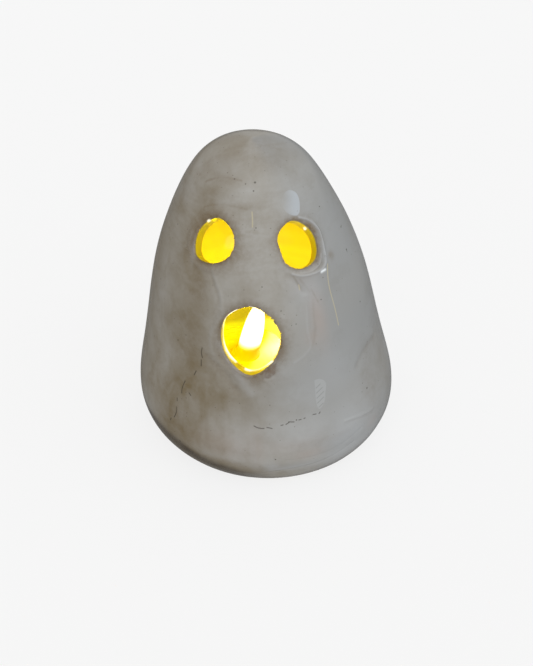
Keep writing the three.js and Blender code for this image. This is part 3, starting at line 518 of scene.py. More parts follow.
def distance_to(points, path):
    """How far points are from a line, in millimetres."""
    best = np.full(len(points), 1e9)
    low, high = path.min(0) - 8, path.max(0) + 8
    near = np.flatnonzero(((points > low) & (points < high)).all(1))
    for a, b in zip(path[:-1], path[1:]):
        ab = b - a
        t = np.clip((points[near] - a) @ ab / (ab @ ab), 0, 1)
        best[near] = np.minimum(best[near], np.linalg.norm(points[near] - a - t[:, None] * ab, axis=1))
    return best


def trace(path, half):
    """1 along a line on the wall, falling softly to 0 beside it."""
    return np.exp(-((distance_to(points, path) / half) ** 2))


def nearest(points, paths):
    return np.min([distance_to(points, path) for path in paths], axis=0)


def wobble(points, size, seed):
    """Smooth seeded randomness from -1 to 1 that varies over about size millimetres."""
    table = np.random.default_rng(seed).uniform(-1, 1, (32, 32, 32))
    q = points / np.asarray(size, float) + 100.5
    cell = np.floor(q).astype(int)
    t = q - cell
    t = t * t * (3 - 2 * t)
    total = np.zeros(len(points))
    for step in np.ndindex(2, 2, 2):
        weight = np.prod(np.where(np.array(step) == 1, t, 1 - t), axis=1)
        i, j, k = ((cell + step) % 32).T
        total += weight * table[i, j, k]
    return total


def from_edge(points, name):
    """How far points are outside a hole's cut edge, across the wall."""
    x, drop, _, lean = HOLES[name]
    middle, normal, level, rise = hole_frame(x, drop)
    edge = hole_edge(name)
    angles, reach = np.arctan2(edge[:, 1], edge[:, 0]), np.linalg.norm(edge, axis=1)
    share = np.maximum((middle - points) @ normal / WALL, 0)
    u, v = (points - middle) @ level - lean[0] * share, (points - middle) @ rise - lean[1] * share
    away = np.hypot(u, v) - np.interp(np.arctan2(v, u), angles, reach, period=2 * math.pi)
    return np.where((points - middle) @ normal > -2 * WALL, away, 99)


def depth_in_clay(points, name):
    """How deep points are in the clay round a hole, whose outer edge is rounded."""
    deep, away = depth_below(points), from_edge(points, name)
    eased = LIP - np.hypot(np.maximum(LIP - deep, 0), np.maximum(LIP - away, 0))
    return np.where((deep < LIP) | (away < LIP), eased, np.minimum(deep, away))


def settled(points, depth):
    """Moves points onto the surface where their depth is nothing."""
    for _ in range(4):
        slope = [(depth(points + step) - depth(points - step)) / 0.02 for step in np.eye(3) * 0.01]
        slope = np.stack(slope, 1)
        points = points - slope * (depth(points) / np.maximum((slope**2).sum(1), 0.3))[:, None]
    return points


def coordinates(data):
    flat = np.zeros(len(data.vertices) * 3, np.float32)
    data.vertices.foreach_get("co", flat)
    return flat.reshape(-1, 3).astype(float) / MM


def refine(made, wanted, cuts):
    """Divides the edges whose two ends are wanted."""
    work = bmesh.new()
    work.from_mesh(made.data)
    work.verts.ensure_lookup_table()
    edges = [e for e in work.edges if wanted[e.verts[0].index] and wanted[e.verts[1].index]]
    bmesh.ops.subdivide_edges(work, edges=edges, cuts=cuts, use_grid_fill=True)
    bmesh.ops.triangulate(work, faces=[f for f in work.faces if len(f.verts) > 4])
    work.to_mesh(made.data)
    work.free()


def paint(made, name, values):
    """Keeps a value for each point of the mesh, which the material reads."""
    layer = made.data.attributes.new(name, "FLOAT", "POINT")
    layer.data.foreach_set("value", np.clip(values, 0, 1).astype(np.float32))


def relaxed(points, chosen, ends):
    """Moves the chosen points half way to the middle of their neighbours."""
    total, count = np.zeros_like(points), np.zeros(len(points))
    for here, there in (ends.T, ends.T[::-1]):
        count += np.bincount(here, minlength=len(points))
        for axis in range(3):
            total[:, axis] += np.bincount(here, points[there, axis], len(points))
    made = points.copy()
    made[chosen] = (points[chosen] + total[chosen] / count[chosen, None]) / 2
    return made


specks = on_wall([(x, y) for x, y, _ in SPECKS])
ghost = ghost_mesh()
soft = [(path, half) for path, half, *_ in (*RIDGES.values(), *CREASES.values())]
crisp = CRACKS + SCRATCHES + HATCHES
strokes = [path for path, half, _ in BRUSHED_AND_CREASE_SHADE if half < 0.7]
for rim, widest, band, fine, detail in (
    (3.2, 9, 2.2, crisp + strokes, 1.6),
    (1.7, 1, 1.3, crisp + strokes, 1.1),
    (0, 0.4, 0.5, crisp, 0.7),
):
    points = coordinates(ghost.data)
    marked = nearest(points, fine)
    for place in specks:
        marked = np.minimum(marked, np.linalg.norm(points - place, axis=1))
    wanted = (nearest(points, [path for path, half in soft if half < widest]) < band) | (marked < detail)
    for name in HOLES:
        wanted |= (np.abs(from_edge(points, name)) < rim) & (depth_below(points) < RIM_DEPTH)
    refine(ghost, wanted, 1)

# The remeshed surface goes back onto the true one
points = coordinates(ghost.data)
below = depth_below(points)
outside = np.flatnonzero((below < 2.5) & (points[:, 2] > 3))
points[outside] = settled(points[outside], depth_below)
ends = np.zeros(len(ghost.data.edges) * 2, np.int32)
ghost.data.edges.foreach_get("vertices", ends)
ends = ends.reshape(-1, 2)
for name in HOLES:
    away = from_edge(points, name)
    near = np.flatnonzero((away > -3) & (away < 3.5) & (below < 5.5))
    lip = np.flatnonzero((np.abs(away) < 2) & (below < 7.2))
    share = 1 - smooth(below[near], 3.5, 5.5)
    for turn in range(3):
        moved = settled(points[near], lambda p, name=name: depth_in_clay(p, name))
        points[near] += (moved - points[near]) * share[:, None]
        if turn < 2:
            points = relaxed(points, lip, ends)
ghost.data.vertices.foreach_set("co", (points * MM).astype(np.float32).ravel())
ghost.data.update()
normals = np.zeros(len(points) * 3, np.float32)
ghost.data.vertex_normals.foreach_get("vector", normals)
normals = normals.reshape(-1, 3)
below = depth_below(points)
outer = 1 - smooth(below, 0.4, 1.2)
edges = {name: from_edge(points, name) for name in HOLES}
height = points[:, 2]
azimuth = np.degrees(np.arctan2(points[:, 0] - lean_at(height), -points[:, 1]))


def blot(px, py, wide, tall):
    """A soft patch of the wall round a pixel, so many millimetres wide and tall."""
    x, y, z = on_wall([(px, py)])[0]
    turn = np.radians(azimuth) - math.atan2(x - float(lean_at(z)), -y)
    arc = float(radius_at(z)) * np.arctan2(np.sin(turn), np.cos(turn))
    return np.exp(-((arc / wide) ** 2) - ((height - z) / tall) ** 2)


def blots(*places):
    return np.max([strength * blot(*place) for *place, strength in places], axis=0)


def patch(*pixels):
    """How far inside an outline on the wall points are: 0.5 at its edge, and 0.1 more per millimetre."""
    edge = line(*pixels, pixels[0])
    x, y, z = middle = edge.mean(0)
    turn = math.atan2(x - float(lean_at(z)), -y)
    out, up = (float(v) for v in profile_normal(z))
    normal = np.array([out * math.sin(turn), -out * math.cos(turn), up])
    level = np.cross([0, 0, 1], normal)
    level /= np.linalg.norm(level)
    axes = np.stack([level, np.cross(normal, level)], 1)
    around = (edge - middle) @ axes
    near = np.flatnonzero(np.linalg.norm(points - middle, axis=1) < np.linalg.norm(around, axis=1).max() + 4)
    place = (points[near] - middle) @ axes
    away = np.full(len(near), 1e9)
    within = np.zeros(len(near), bool)
    for a, b in zip(around, np.roll(around, -1, axis=0)):
        ab = b - a
        t = np.clip((place - a) @ ab / max(ab @ ab, 1e-9), 0, 1)
        away = np.minimum(away, np.linalg.norm(place - a - t[:, None] * ab, axis=1))
        spans = (a[1] > place[:, 1]) != (b[1] > place[:, 1])
        within ^= spans & (place[:, 0] < a[0] + (place[:, 1] - a[1]) * ab[0] / (ab[1] if ab[1] else 1e-9))
    found = np.zeros(len(points))
    found[near] = 0.5 + 0.1 * np.where(within, away, -away)
    return found


# The clay was pulled up and pressed by hand, and the glaze ran
push = 0.14 * wobble(points, 17, 1) + 0.04 * wobble(points, 7, 2)
lower_left = blots((185, 400, 22, 20, 1.0), (225, 420, 12, 16, 0.8))
push += 0.16 * lower_left * wobble(points, (7, 7, 40), 3)
for path, half, tall, _ in RIDGES.values():
    push += outer * tall * trace(path, half)
for path, half, deep in CREASES.values():
    push -= outer * deep * trace(path, half)
crack, scratch, hatch = (
    np.exp(-((nearest(points, paths) / 0.2) ** 2)) * outer for paths in (CRACKS, SCRATCHES, HATCHES)
)
push -= 0.1 * crack
for away in edges.values():
    push += outer * 0.14 * np.exp(-(((away - 2.8) / 1.4) ** 2))
room = smooth(height, 0, 3)
moved = points + normals * (push * room)[:, None]
low, high = (np.array(c) / MM for c in cad_box)
moved = np.clip(moved, low, high)
ghost.data.vertices.foreach_set("co", (moved * MM).astype(np.float32).ravel())
ghost.data.update()
ghost.data.shade_smooth()

# Where the glaze is thin over the brown clay, with painted shade in it: the left flank, the lowest band and
# the lower left rim are darker
left = smooth(-azimuth, -6, 42) * (1 - smooth(-azimuth, 120, 175))
thin_glaze_and_shade = 0.75 * left * (0.85 + 0.25 * wobble(points, (16, 16, 34), 9))
thin_glaze_and_shade += 0.45 * smooth(np.abs(azimuth), 130, 180) * (0.6 + 0.8 * wobble(points, 30, 4))
thin_glaze_and_shade += 0.12 * smooth(-height, -12, -3)
thin_glaze_and_shade += blots(
    (192, 300, 8, 24, 0.3),
    (190, 368, 9, 18, 0.4),
    (170, 392, 6, 14, 0.15),
    (230, 398, 13, 14, 0.66),
    (200, 262, 9, 9, 0.35),
    (206, 440, 20, 7, 0.35),
    (232, 467, 22, 4, 0.85),
    (250, 296, 10, 5, 0.25),
    (284, 338, 3, 10, 0.3),
    (254, 205, 16, 7, 0.2),
    (263, 143, 14, 7, 0.42),
    (228, 168, 10, 7, 0.22),
    (225, 186, 12, 6, 0.15),
    (156, 372, 7, 12, 0.2),
    (211, 431, 9, 7, 0.22),
    (260, 441, 9, 7, 0.22),
    (386, 368, 8, 22, 0.4),
    (266, 385, 10, 5, 0.4),
)
thin_glaze_and_shade -= blots(
    (160, 300, 6, 40, 0.25),
    (175, 238, 8, 14, 0.15),
    (240, 436, 6, 12, 0.25),
    (213, 420, 4, 12, 0.15),
    (222, 190, 8, 12, 0.15),
)

# Painted reflection of a bluish window: cooler on the right side and along the lower right rim
painted_window_reflection = smooth(azimuth, 6, 46) * (1 - smooth(azimuth, 110, 150)) * (0.85 + 0.4 * wobble(points, 24, 5))
painted_window_reflection += blots(
    (295, 388, 16, 16, 0.55),
    (345, 440, 18, 6, 0.4),
    (290, 467, 14, 3, 0.6),
    (340, 240, 10, 14, 0.25),
)

# Brown stains round the holes and in smears, all of them soft, with painted shade at the sides and along
# creases
stain_and_shade = np.zeros(len(points))
for name, reach, strength in (("left_eye", 4.2, 0.6), ("right_eye", 2.6, 0.42), ("mouth", 2.8, 0.5)):
    spread = reach * (1 + 0.5 * wobble(points, 5, 6))
    stain_and_shade = np.maximum(stain_and_shade, strength * np.exp(-((np.maximum(edges[name] - 0.3, 0) / spread) ** 2)))
    stain_and_shade += 0.3 * np.exp(-(((edges[name] - 0.7) / 0.7) ** 2))
stain_and_shade += blots(
    (204, 215, 3.5, 3.0, 0.2),
    (196, 222, 3.0, 4.0, 0.12),
    (331, 255, 1.5, 1.5, 0.5),
    (252, 246, 8, 12, 0.1),
    (189, 250, 4.0, 7.0, 0.2),
    (312, 230, 2.5, 5.0, 0.3),
    (317, 252, 2.0, 5.0, 0.35),
    (272, 371, 2.6, 3.0, 0.35),
    (262, 380, 5.0, 3.0, 0.25),
    (281, 352, 2.0, 6.0, 0.25),
)
smears = blots(
    (225, 178, 9, 1.1, 0.3),
    (232, 206, 12, 0.9, 0.32),
    (262, 146, 9, 1.2, 0.2),
    (268, 153, 12, 3.0, 0.16),
    (202, 170, 3, 8.0, 0.25),
    (208, 203, 6, 4.0, 0.25),
    (200, 284, 4, 8.0, 0.3),
    (192, 352, 5, 14.0, 0.25),
    (287, 330, 3, 8.0, 0.25),
    (236, 452, 18, 1.6, 0.16),
    (320, 441, 16, 1.2, 0.16),
    (176, 420, 6, 6.0, 0.3),
    (370, 384, 5, 12.0, 0.25),
)
smears *= 0.8 + 0.5 * wobble(points, (9, 9, 2.5), 7)
for path, half, strength in BRUSHED_AND_CREASE_SHADE:
    uneven = strength * (0.8 + 0.4 * wobble(points, 3, 10))
    smears = np.maximum(smears, uneven * trace(path, half))
stain_and_shade = np.maximum(stain_and_shade, smears)
# Painted shade: darker at the sides, a quarter turn from the face
stain_and_shade += smooth(np.abs(azimuth), 80, 110) * 0.3 * smooth(wobble(points, (26, 26, 9), 8), 0.05, 0.9)

# Pale where the glaze stands proud or is thickest, and painted light: a highlight on the crown, a sheen on the
# right, a brighter lower right and a glow at the left eye's outer edge
pale_glaze_and_sheen = blots(
    (308, 396, 14, 10, 0.25),
    (334, 372, 12, 14, 0.25),
    (310, 288, 8, 9, 0.3),
    (350, 425, 16, 14, 0.5),
    (305, 432, 18, 9, 0.45),
    (253, 445, 2.0, 12, 0.2),
    (272, 466, 3.0, 4, 0.3),
    (352, 446, 20, 6, 0.5),
    (340, 240, 8, 12, 0.12),
    (224, 168, 9, 4, 0.2),
    (244, 192, 12, 5, 0.1),
    (252, 150, 9, 1.6, 0.12),
    (240, 440, 4, 10, 0.14),
    (194, 250, 1.6, 6, 0.3),
    (310, 268, 3, 1.6, 0.25),
    (285, 370, 4, 4, 0.12),
)
for path, half, _, strength in RIDGES.values():
    pale_glaze_and_sheen = np.maximum(pale_glaze_and_sheen, strength * trace(path, half))

# Painted shade where the left of the base turns under: darkest along a line round the foot, fading above it
# and easing below
foot_shade_line = line((150, 412), (163, 429), (178, 442), (200, 457.5), (222, 466.8), (246, 473.2), (268, 475))
foot_shade_azimuth = np.degrees(np.arctan2(foot_shade_line[:, 0] - lean_at(foot_shade_line[:, 2]), -foot_shade_line[:, 1]))
above = height - np.interp(azimuth, foot_shade_azimuth, foot_shade_line[:, 2])
painted_foot_shade = np.where(above > 0, np.exp(-((above / 2.6) ** 2)), 1 - 0.55 * smooth(-above, 1, 8))
mottled = 0.85 + 0.15 * wobble(points, (6, 6, 2), 11)
painted_foot_shade *= smooth(-azimuth, -8, 18) * (1 - smooth(-azimuth, 60, 120)) * mottled

# Painted highlights: bright lines on the rims of the holes, where the flame's light would catch them, given as
# emission
pixels = np.pad(seen(points), ((0, 0), (0, 1)))
rim = np.min([np.abs(away) for away in edges.values()], axis=0) < 2.5
rim = rim & (below > 0.1) & (below < 7.6)


def painted_streak(wide, *places):
    """A painted highlight: a bright line on the rims, so many pixels wide."""
    path = np.pad(np.array(places, float), ((0, 0), (0, 1)))
    return rim * np.exp(-((distance_to(pixels, path) / wide) ** 2))


mouth_left = (236, 309.5), (230.5, 313.5), (226.5, 319.5), (225, 327), (224.6, 334), (225, 342), (227, 350)
painted_glints = [
    painted_streak(1.4, *mouth_left, (231, 356.5), (236, 361)),
    painted_streak(1.3, (246, 369), (250, 370), (258, 368.5), (265, 365), (272, 361.5)),
    0.7 * painted_streak(0.8, (251, 307), (257, 308.5), (262, 311.5)),
    painted_streak(1.2, (208.5, 221), (209, 220.5)),
    painted_streak(1.0, (304.5, 228), (305, 229)),
]
painted_glint = np.max(painted_glints, axis=0)
pink = blots(
    (318, 316, 3.5, 12, 1.0),
    (315, 336, 4.0, 4, 0.8),
    (303, 282, 5, 4, 0.3),
    (228, 446, 14, 7, 0.5),
    (256, 448, 4, 8, 0.6),
    (290, 447, 14, 4, 0.4),
    (309, 453, 7, 3, 0.7),
    (372, 421, 4, 3, 0.5),
)
# Ochre in the glaze below the right eye, and painted glow of the flame's light at the outer edges of the left
# eye and the mouth
ochre_and_glow = blots(
    (312, 268, 4, 2.5, 0.7),
    (300, 273, 6, 1.5, 0.5),
    (193, 246, 2.5, 8, 0.5),
    (223, 352, 1.6, 7, 0.9),
    (229, 364, 2, 3, 0.7),
)
speck = np.zeros(len(points))
for place, (_, _, size) in zip(specks, SPECKS):
    speck = np.maximum(speck, 1 - smooth(np.linalg.norm(points - place, axis=1), size * 0.6, size * 1.3))
# A painted highlight: a near-white spot on the glaze below the right eye
painted_highlight = trace(line((325, 269.5), (323.5, 270.7), (321.5, 271.5)), 0.5)

nearest_edge = np.min([np.abs(away) for away in edges.values()], axis=0)
into_hole = -np.min(list(edges.values()), axis=0)
crown_band = smooth(height, 88, 104) * (1 - smooth(height, 122, 130))
# A painted reflection of the window: a pale bluish patch above the right eye, crisp at its right edge and
# fading out to the left
reflection_left, reflection_right = on_wall([(280, 203), (297, 203)])[:, 0]
reflection_top = (281, 203), (283, 195), (288, 190), (295, 191.5)
print_top = (314, 380), (319, 378.5), (325, 381)
chip_low = (264, 377), (268, 379.5), (272.5, 376.5), (275.5, 373.5)
OUTER_ONLY = {
    "stain_and_shade": stain_and_shade,
    "pale_glaze_and_sheen": pale_glaze_and_sheen,
    "pink": pink,
    "ochre_and_glow": ochre_and_glow,
    "painted_highlight": painted_highlight,
    "speck": speck,
    "painted_foot_shade": painted_foot_shade,
}
EVERYWHERE = {
    "thin_glaze_and_shade": thin_glaze_and_shade,
    "painted_window_reflection": painted_window_reflection,
    "crack": crack,
    "scratch": scratch,
    "hatch": hatch,
    "folds": lower_left,
    "painted_glint": painted_glint,
    "smears": np.maximum(crown_band, 1 - smooth(height, 8, 20)),
    # the painted reflection above the right eye
    "drop": patch(*reflection_top, (299, 198), (300, 207), (298, 215), (292, 215.5), (285, 211)),
    "reflection_fade": smooth(points[:, 0], reflection_left, reflection_right),
    "print": patch(*print_top, (325.5, 392), (324, 403), (319, 409), (316, 402), (315, 390)),
    "chip": patch(*chip_low, (275.5, 368), (277.5, 362), (272, 366), (266, 371)),
    "inside": 0.5 + 0.25 * (np.maximum(below, into_hole) - 0.9),
    # the holes' cut walls, which the material paints orange with the flame's light
    "cut": (1 - smooth(nearest_edge, 0.5, 1.6)) * (1 - smooth(below, 5.6, 7)),
    "foot": 1 - smooth(height, 0.5, 1.6),
}
for name, values in OUTER_ONLY.items():
    paint(ghost, name, values * outer)
for name, values in EVERYWHERE.items():
    paint(ghost, name, values)


class Look:
    """A node material with short calls for the nodes that it needs."""

    def __init__(self, name, **settings):
        self.material = bpy.data.materials.new(name)
        self.material.use_nodes = True
        self.tree = self.material.node_tree
        self.shader = self.tree.nodes["Principled BSDF"]
        for key, value in settings.items():
            self.shader.inputs[key.replace("_", " ")].default_value = value
        self.place = self.scaled(self.node("TexCoord").outputs["Object"], (1000, 1000, 1000))

    def set(self, target, value):
        if isinstance(value, bpy.types.NodeSocket):
            self.tree.links.new(value, target)
        else:
            target.default_value = value

    def give(self, name, value):
        self.set(self.shader.inputs[name], value)

    def node(self, kind, inputs=None, **settings):
        made = self.tree.nodes.new("ShaderNode" + kind)
        for key, value in settings.items():
            setattr(made, key, value)
        for key, value in (inputs or {}).items():
            self.set(made.inputs[key], value)
        return made

    def scaled(self, vector, factors):
        return self.node("VectorMath", {0: vector, 1: factors}, operation="MULTIPLY").outputs[0]

    def noise(self, vector, size, detail=3.0, rough=0.55, bend=0.0):
        """Noise from 0 to 1 whose patches are about size millimetres."""
        inputs = {"Vector": vector, "Scale": 1 / size, "Detail": detail, "Roughness": rough}
        return self.node("TexNoise", inputs | {"Distortion": bend}).outputs[0]

    def painted(self, name):
        return self.node("Attribute", attribute_name=name, attribute_type="GEOMETRY").outputs["Fac"]

    def share(self, name, amount):
        """A painted value times an amount."""
        return self.maths("MULTIPLY", self.painted(name), amount)

    def maths(self, operation, *values, clamp=False):
        return self.node("Math", dict(enumerate(values)), operation=operation, use_clamp=clamp).outputs[0]

    def spread(self, value, low, high, start=0.0, end=1.0):
        inputs = {"Value": value, "From Min": low, "From Max": high, "To Min": start, "To Max": end}
        return self.node("MapRange", inputs, interpolation_type="SMOOTHSTEP").outputs[0]

    def mixed(self, factor, first, second, blend="MIX"):
        first, second = ((*c, 1) if isinstance(c, tuple) else c for c in (first, second))
        inputs = {0: factor, 6: first, 7: second}
        return self.node("Mix", inputs, data_type="RGBA", blend_type=blend).outputs[2]

    def layered(self, colour, *layers):
        """A colour with painted layers over it: the name, strength and colour of each."""
        for name, strength, over in layers:
            colour = self.mixed(self.share(name, strength), colour, over)
        return colour

    def bumped(self, height, millimetres, strength=1.0):
        inputs = {"Strength": strength, "Distance": millimetres * MM, "Height": height}
        self.give("Normal", self.node("Bump", inputs).outputs[0])


def glazed_clay():
    """Off-white glaze, thin over brown clay, mottled, smeared and pitted."""
    look = Look("glazed_clay", Coat_Weight=0.12, Coat_Roughness=0.06, Specular_IOR_Level=0.4)
    big = look.noise(look.place, 26, 2)
    middle = look.noise(look.place, 8, 2, 0.5, 0.6)
    small = look.noise(look.place, 1.7, 4, 0.65)
    upright = look.noise(look.scaled(look.place, (1, 1, 0.2)), 6.5, 2, 0.5, 0.4)
    level = look.noise(look.scaled(look.place, (0.3, 0.3, 1.5)), 3.4, 3, 0.55, 0.3)
    thin = look.share("thin_glaze_and_shade", 0.72)
    for grain, *limits in (
        (big, 0.3, 0.7, -0.1, 0.12),
        (middle, 0.3, 0.75, -0.07, 0.12),
        (small, 0.35, 0.7, -0.025, 0.04),
    ):
        thin = look.maths("ADD", thin, look.spread(grain, *limits))
    folded = look.maths("MULTIPLY", look.painted("folds"), look.spread(upright, 0.3, 0.7, -0.16, 0.1))
    smeared = look.maths("MULTIPLY", look.painted("smears"), look.spread(level, 0.35, 0.7, -0.04, 0.08))
    thin = look.maths("ADD", look.maths("ADD", thin, folded), smeared, clamp=True)
    colour = look.mixed(thin, (0.33, 0.318, 0.292), (0.155, 0.115, 0.056))
    colour = look.layered(
        colour,
        ("painted_window_reflection", 0.6, (0.245, 0.258, 0.266)),
        ("pink", 0.5, (0.37, 0.305, 0.27)),
        ("ochre_and_glow", 0.5, (0.33, 0.28, 0.2)),
    )
    torn = look.maths("MULTIPLY", look.painted("stain_and_shade"), look.spread(small, 0.3, 0.7, 0.6, 1.2), clamp=True)
    colour = look.mixed(torn, colour, (0.15, 0.108, 0.06))
    colour = look.mixed(look.painted("pale_glaze_and_sheen"), colour, (0.4, 0.41, 0.42))
    # The painted reflection above the right eye, pale and bluish
    drop = look.maths("MULTIPLY", look.spread(look.painted("drop"), 0.49, 0.53), look.painted("reflection_fade"))
    colour = look.mixed(look.maths("MULTIPLY", drop, 0.85), colour, (0.38, 0.405, 0.43))
    colour = look.mixed(look.spread(look.painted("print"), 0.49, 0.53, 0.0, 0.45), colour, (0.39, 0.4, 0.4))
    ragged = look.spread(small, 0.3, 0.6, 0.25, 0.55)
    chip = look.maths("MULTIPLY", look.spread(look.painted("chip"), 0.47, 0.54), ragged)
    colour = look.mixed(chip, colour, (0.14, 0.09, 0.06))
    cells = look.node("TexVoronoi", {"Vector": look.place, "Scale": 0.5, "Randomness": 1.0})
    rare = look.node("SeparateColor", {0: cells.outputs["Color"]}).outputs[0]
    pits = look.maths("LESS_THAN", cells.outputs["Distance"], look.spread(rare, 0.5, 1.0, 0.0, 0.15))
    pits = look.maths("MULTIPLY", pits, look.spread(big, 0.35, 0.65, 0.2, 0.6))
    colour = look.mixed(pits, colour, (0.12, 0.095, 0.07))
    colour = look.layered(
        colour,
        ("painted_foot_shade", 0.9, (0.05, 0.038, 0.026)),
        ("hatch", 0.35, (0.14, 0.13, 0.12)),
        ("speck", 0.8, (0.05, 0.04, 0.03)),
        ("crack", 0.85, (0.035, 0.028, 0.02)),
        ("scratch", 0.7, (0.5, 0.44, 0.27)),
    )
    # The painted highlight below the right eye
    colour = look.mixed(look.painted("painted_highlight"), colour, (0.82, 0.86, 0.88))
    # Inside, the glaze is painted with the flame's light: yellow with throwing rings, darker low on the wall
    # where the housing shades it, a painted glow low down towards the back, paler to the right, and orange on
    # the holes' cut walls
    thrown = look.noise(look.scaled(look.place, (0.12, 0.12, 1)), 8.0, 1, 0.5)
    inner = look.mixed(look.spread(thrown, 0.35, 0.7), (0.72, 0.65, 0.004), (0.68, 0.59, 0.003))
    x, y, z = (look.node("SeparateXYZ", {0: look.place}).outputs[i] for i in range(3))
    inner = look.mixed(look.spread(z, 20.0, 36.0), (0.54, 0.49, 0.003), inner)
    lit = look.mixed(look.spread(x, -9.0, 9.0), (0.78, 0.88, 0.004), (0.83, 0.87, 0.5))
    near = look.maths("MULTIPLY", look.spread(z, 9.0, 12.8, 1.0, 0.0), look.spread(y, -12.0, 30.0))
    inner = look.mixed(near, inner, lit)
    inner = look.mixed(look.share("cut", 0.8), inner, (0.68, 0.52, 0.003))
    colour = look.mixed(look.spread(look.painted("inside"), 0.4, 0.6), colour, inner)
    bare = look.mixed(small, (0.27, 0.2, 0.14), (0.36, 0.28, 0.2))
    colour = look.mixed(look.painted("foot"), colour, bare)
    look.give("Base Color", colour)
    # The painted glints glow as emission: painted highlights on the rims
    look.give("Emission Color", (1.0, 0.96, 0.8, 1))
    look.give("Emission Strength", look.share("painted_glint", 1.3))
    rough = look.maths("ADD", look.spread(small, 0.3, 0.75, 0.15, 0.22), look.maths("MULTIPLY", torn, 0.15))
    rough = look.maths("ADD", rough, look.share("foot", 0.4))
    rough = look.maths("ADD", rough, look.spread(look.painted("inside"), 0.5, 0.9, 0.0, 0.5), clamp=True)
    look.give("Roughness", rough)
    raised = look.maths("ADD", look.maths("MULTIPLY", small, 0.1), look.maths("MULTIPLY", middle, 0.8))
    raised = look.maths("SUBTRACT", raised, look.maths("MULTIPLY", pits, 0.2))
    raised = look.maths("SUBTRACT", raised, look.maths("MULTIPLY", chip, 0.3))
    look.bumped(raised, 0.2, 0.6)
    return look.material


def moulded(name, colour, shade, roughness, grain=0.25):
    """Injection-moulded plastic: slightly uneven colour, fine spark-eroded grain and faint flow marks."""
    look = Look(name)
    flow = look.noise(look.scaled(look.place, (1, 1, 0.35)), 5, 3, 0.6, 0.8)
    dust = look.noise(look.place, 0.5, 3, 0.7)
    look.give("Base Color", look.mixed(look.spread(flow, 0.3, 0.8), colour, shade))
    look.give("Roughness", look.spread(dust, 0.3, 0.7, roughness - 0.06, roughness + 0.1))
    raised = look.maths("ADD", look.noise(look.place, grain, 2), look.maths("MULTIPLY", flow, 0.6))
    look.bumped(raised, 0.02, 0.6)
    return look


def metal(name, colour, tarnish, roughness, along):
    """Rolled or drawn metal: fine lines one way, with patches of dulled surface."""
    look = Look(name, Metallic=1.0)
    lines = look.noise(look.scaled(look.place, along), 0.3, 3, 0.6)
    patches = look.noise(look.place, 2.5, 3, 0.6, 0.4)
    dull = look.spread(patches, 0.45, 0.75)
    look.give("Base Color", look.mixed(dull, colour, tarnish))
    rough = look.spread(lines, 0.3, 0.7, roughness, roughness + 0.14)
    look.give("Roughness", look.maths("ADD", rough, look.maths("MULTIPLY", dull, 0.12)))
    look.bumped(lines, 0.006, 0.5)
    return look.material


def flame():
    """Milky plastic lit from within: white-hot above the diode, amber at its foot."""
    look = moulded("flame_plastic", (0.66, 0.48, 0.004), (0.62, 0.45, 0.004), 0.4, 0.6)
    level = look.node("SeparateXYZ", {0: look.place}).outputs[2]
    heart = look.spread(level, 21.0, 26.0)
    look.give("Emission Color", look.mixed(heart, (1.0, 0.6, 0.0), (1.0, 0.86, 0.5)))
    look.give("Emission Strength", look.spread(heart, 0.0, 1.0, 0.05, 2.2))
    return look.material


def epoxy():
    look = moulded("led_epoxy", (1.0, 0.6, 0.05), (0.9, 0.48, 0.03), 0.12, 0.8)
    level = look.node("SeparateXYZ", {0: look.place}).outputs[2]
    look.give("Emission Color", (1.0, 0.7, 0.2, 1))
    look.give("Emission Strength", look.spread(level, 12, 17, 0.2, 3.0))
    return look.material


def rubber():
    look = moulded("seal_rubber", (0.02, 0.02, 0.021), (0.035, 0.034, 0.033), 0.7, 0.35)
    return look.material


def wax():
    """The housing's ivory plastic, with the diode's light painted on its top: amber round the flame, paler to
    the right.
    """
    look = moulded("wax_plastic", (0.83, 0.79, 0.68), (0.79, 0.74, 0.61), 0.42)
    x, y, z = (look.node("SeparateXYZ", {0: look.place}).outputs[i] for i in range(3))
    along = look.maths("MULTIPLY", look.maths("SUBTRACT", y, 14.0), 0.35)
    right = look.spread(look.maths("SUBTRACT", x, along), -6.0, -1.5)
    lit = look.spread(z, 13.0, 16.0)
    ivory = look.shader.inputs["Base Color"].links[0].from_socket
    heart = {0: look.place, 1: (-10.5, 14.0, 16.1)}
    away = look.node("VectorMath", heart, operation="DISTANCE").outputs["Value"]
    near = look.mixed(look.spread(away, 6.0, 13.0), (0.62, 0.46, 0.003), (0.8, 0.74, 0.003))
    amber = look.mixed(right, near, (0.83, 0.76, 0.55))
    look.give("Base Color", look.mixed(lit, ivory, amber))
    rough = look.shader.inputs["Roughness"].links[0].from_socket
    look.give("Roughness", look.maths("ADD", rough, look.maths("MULTIPLY", lit, 0.4), clamp=True))
    return look.material


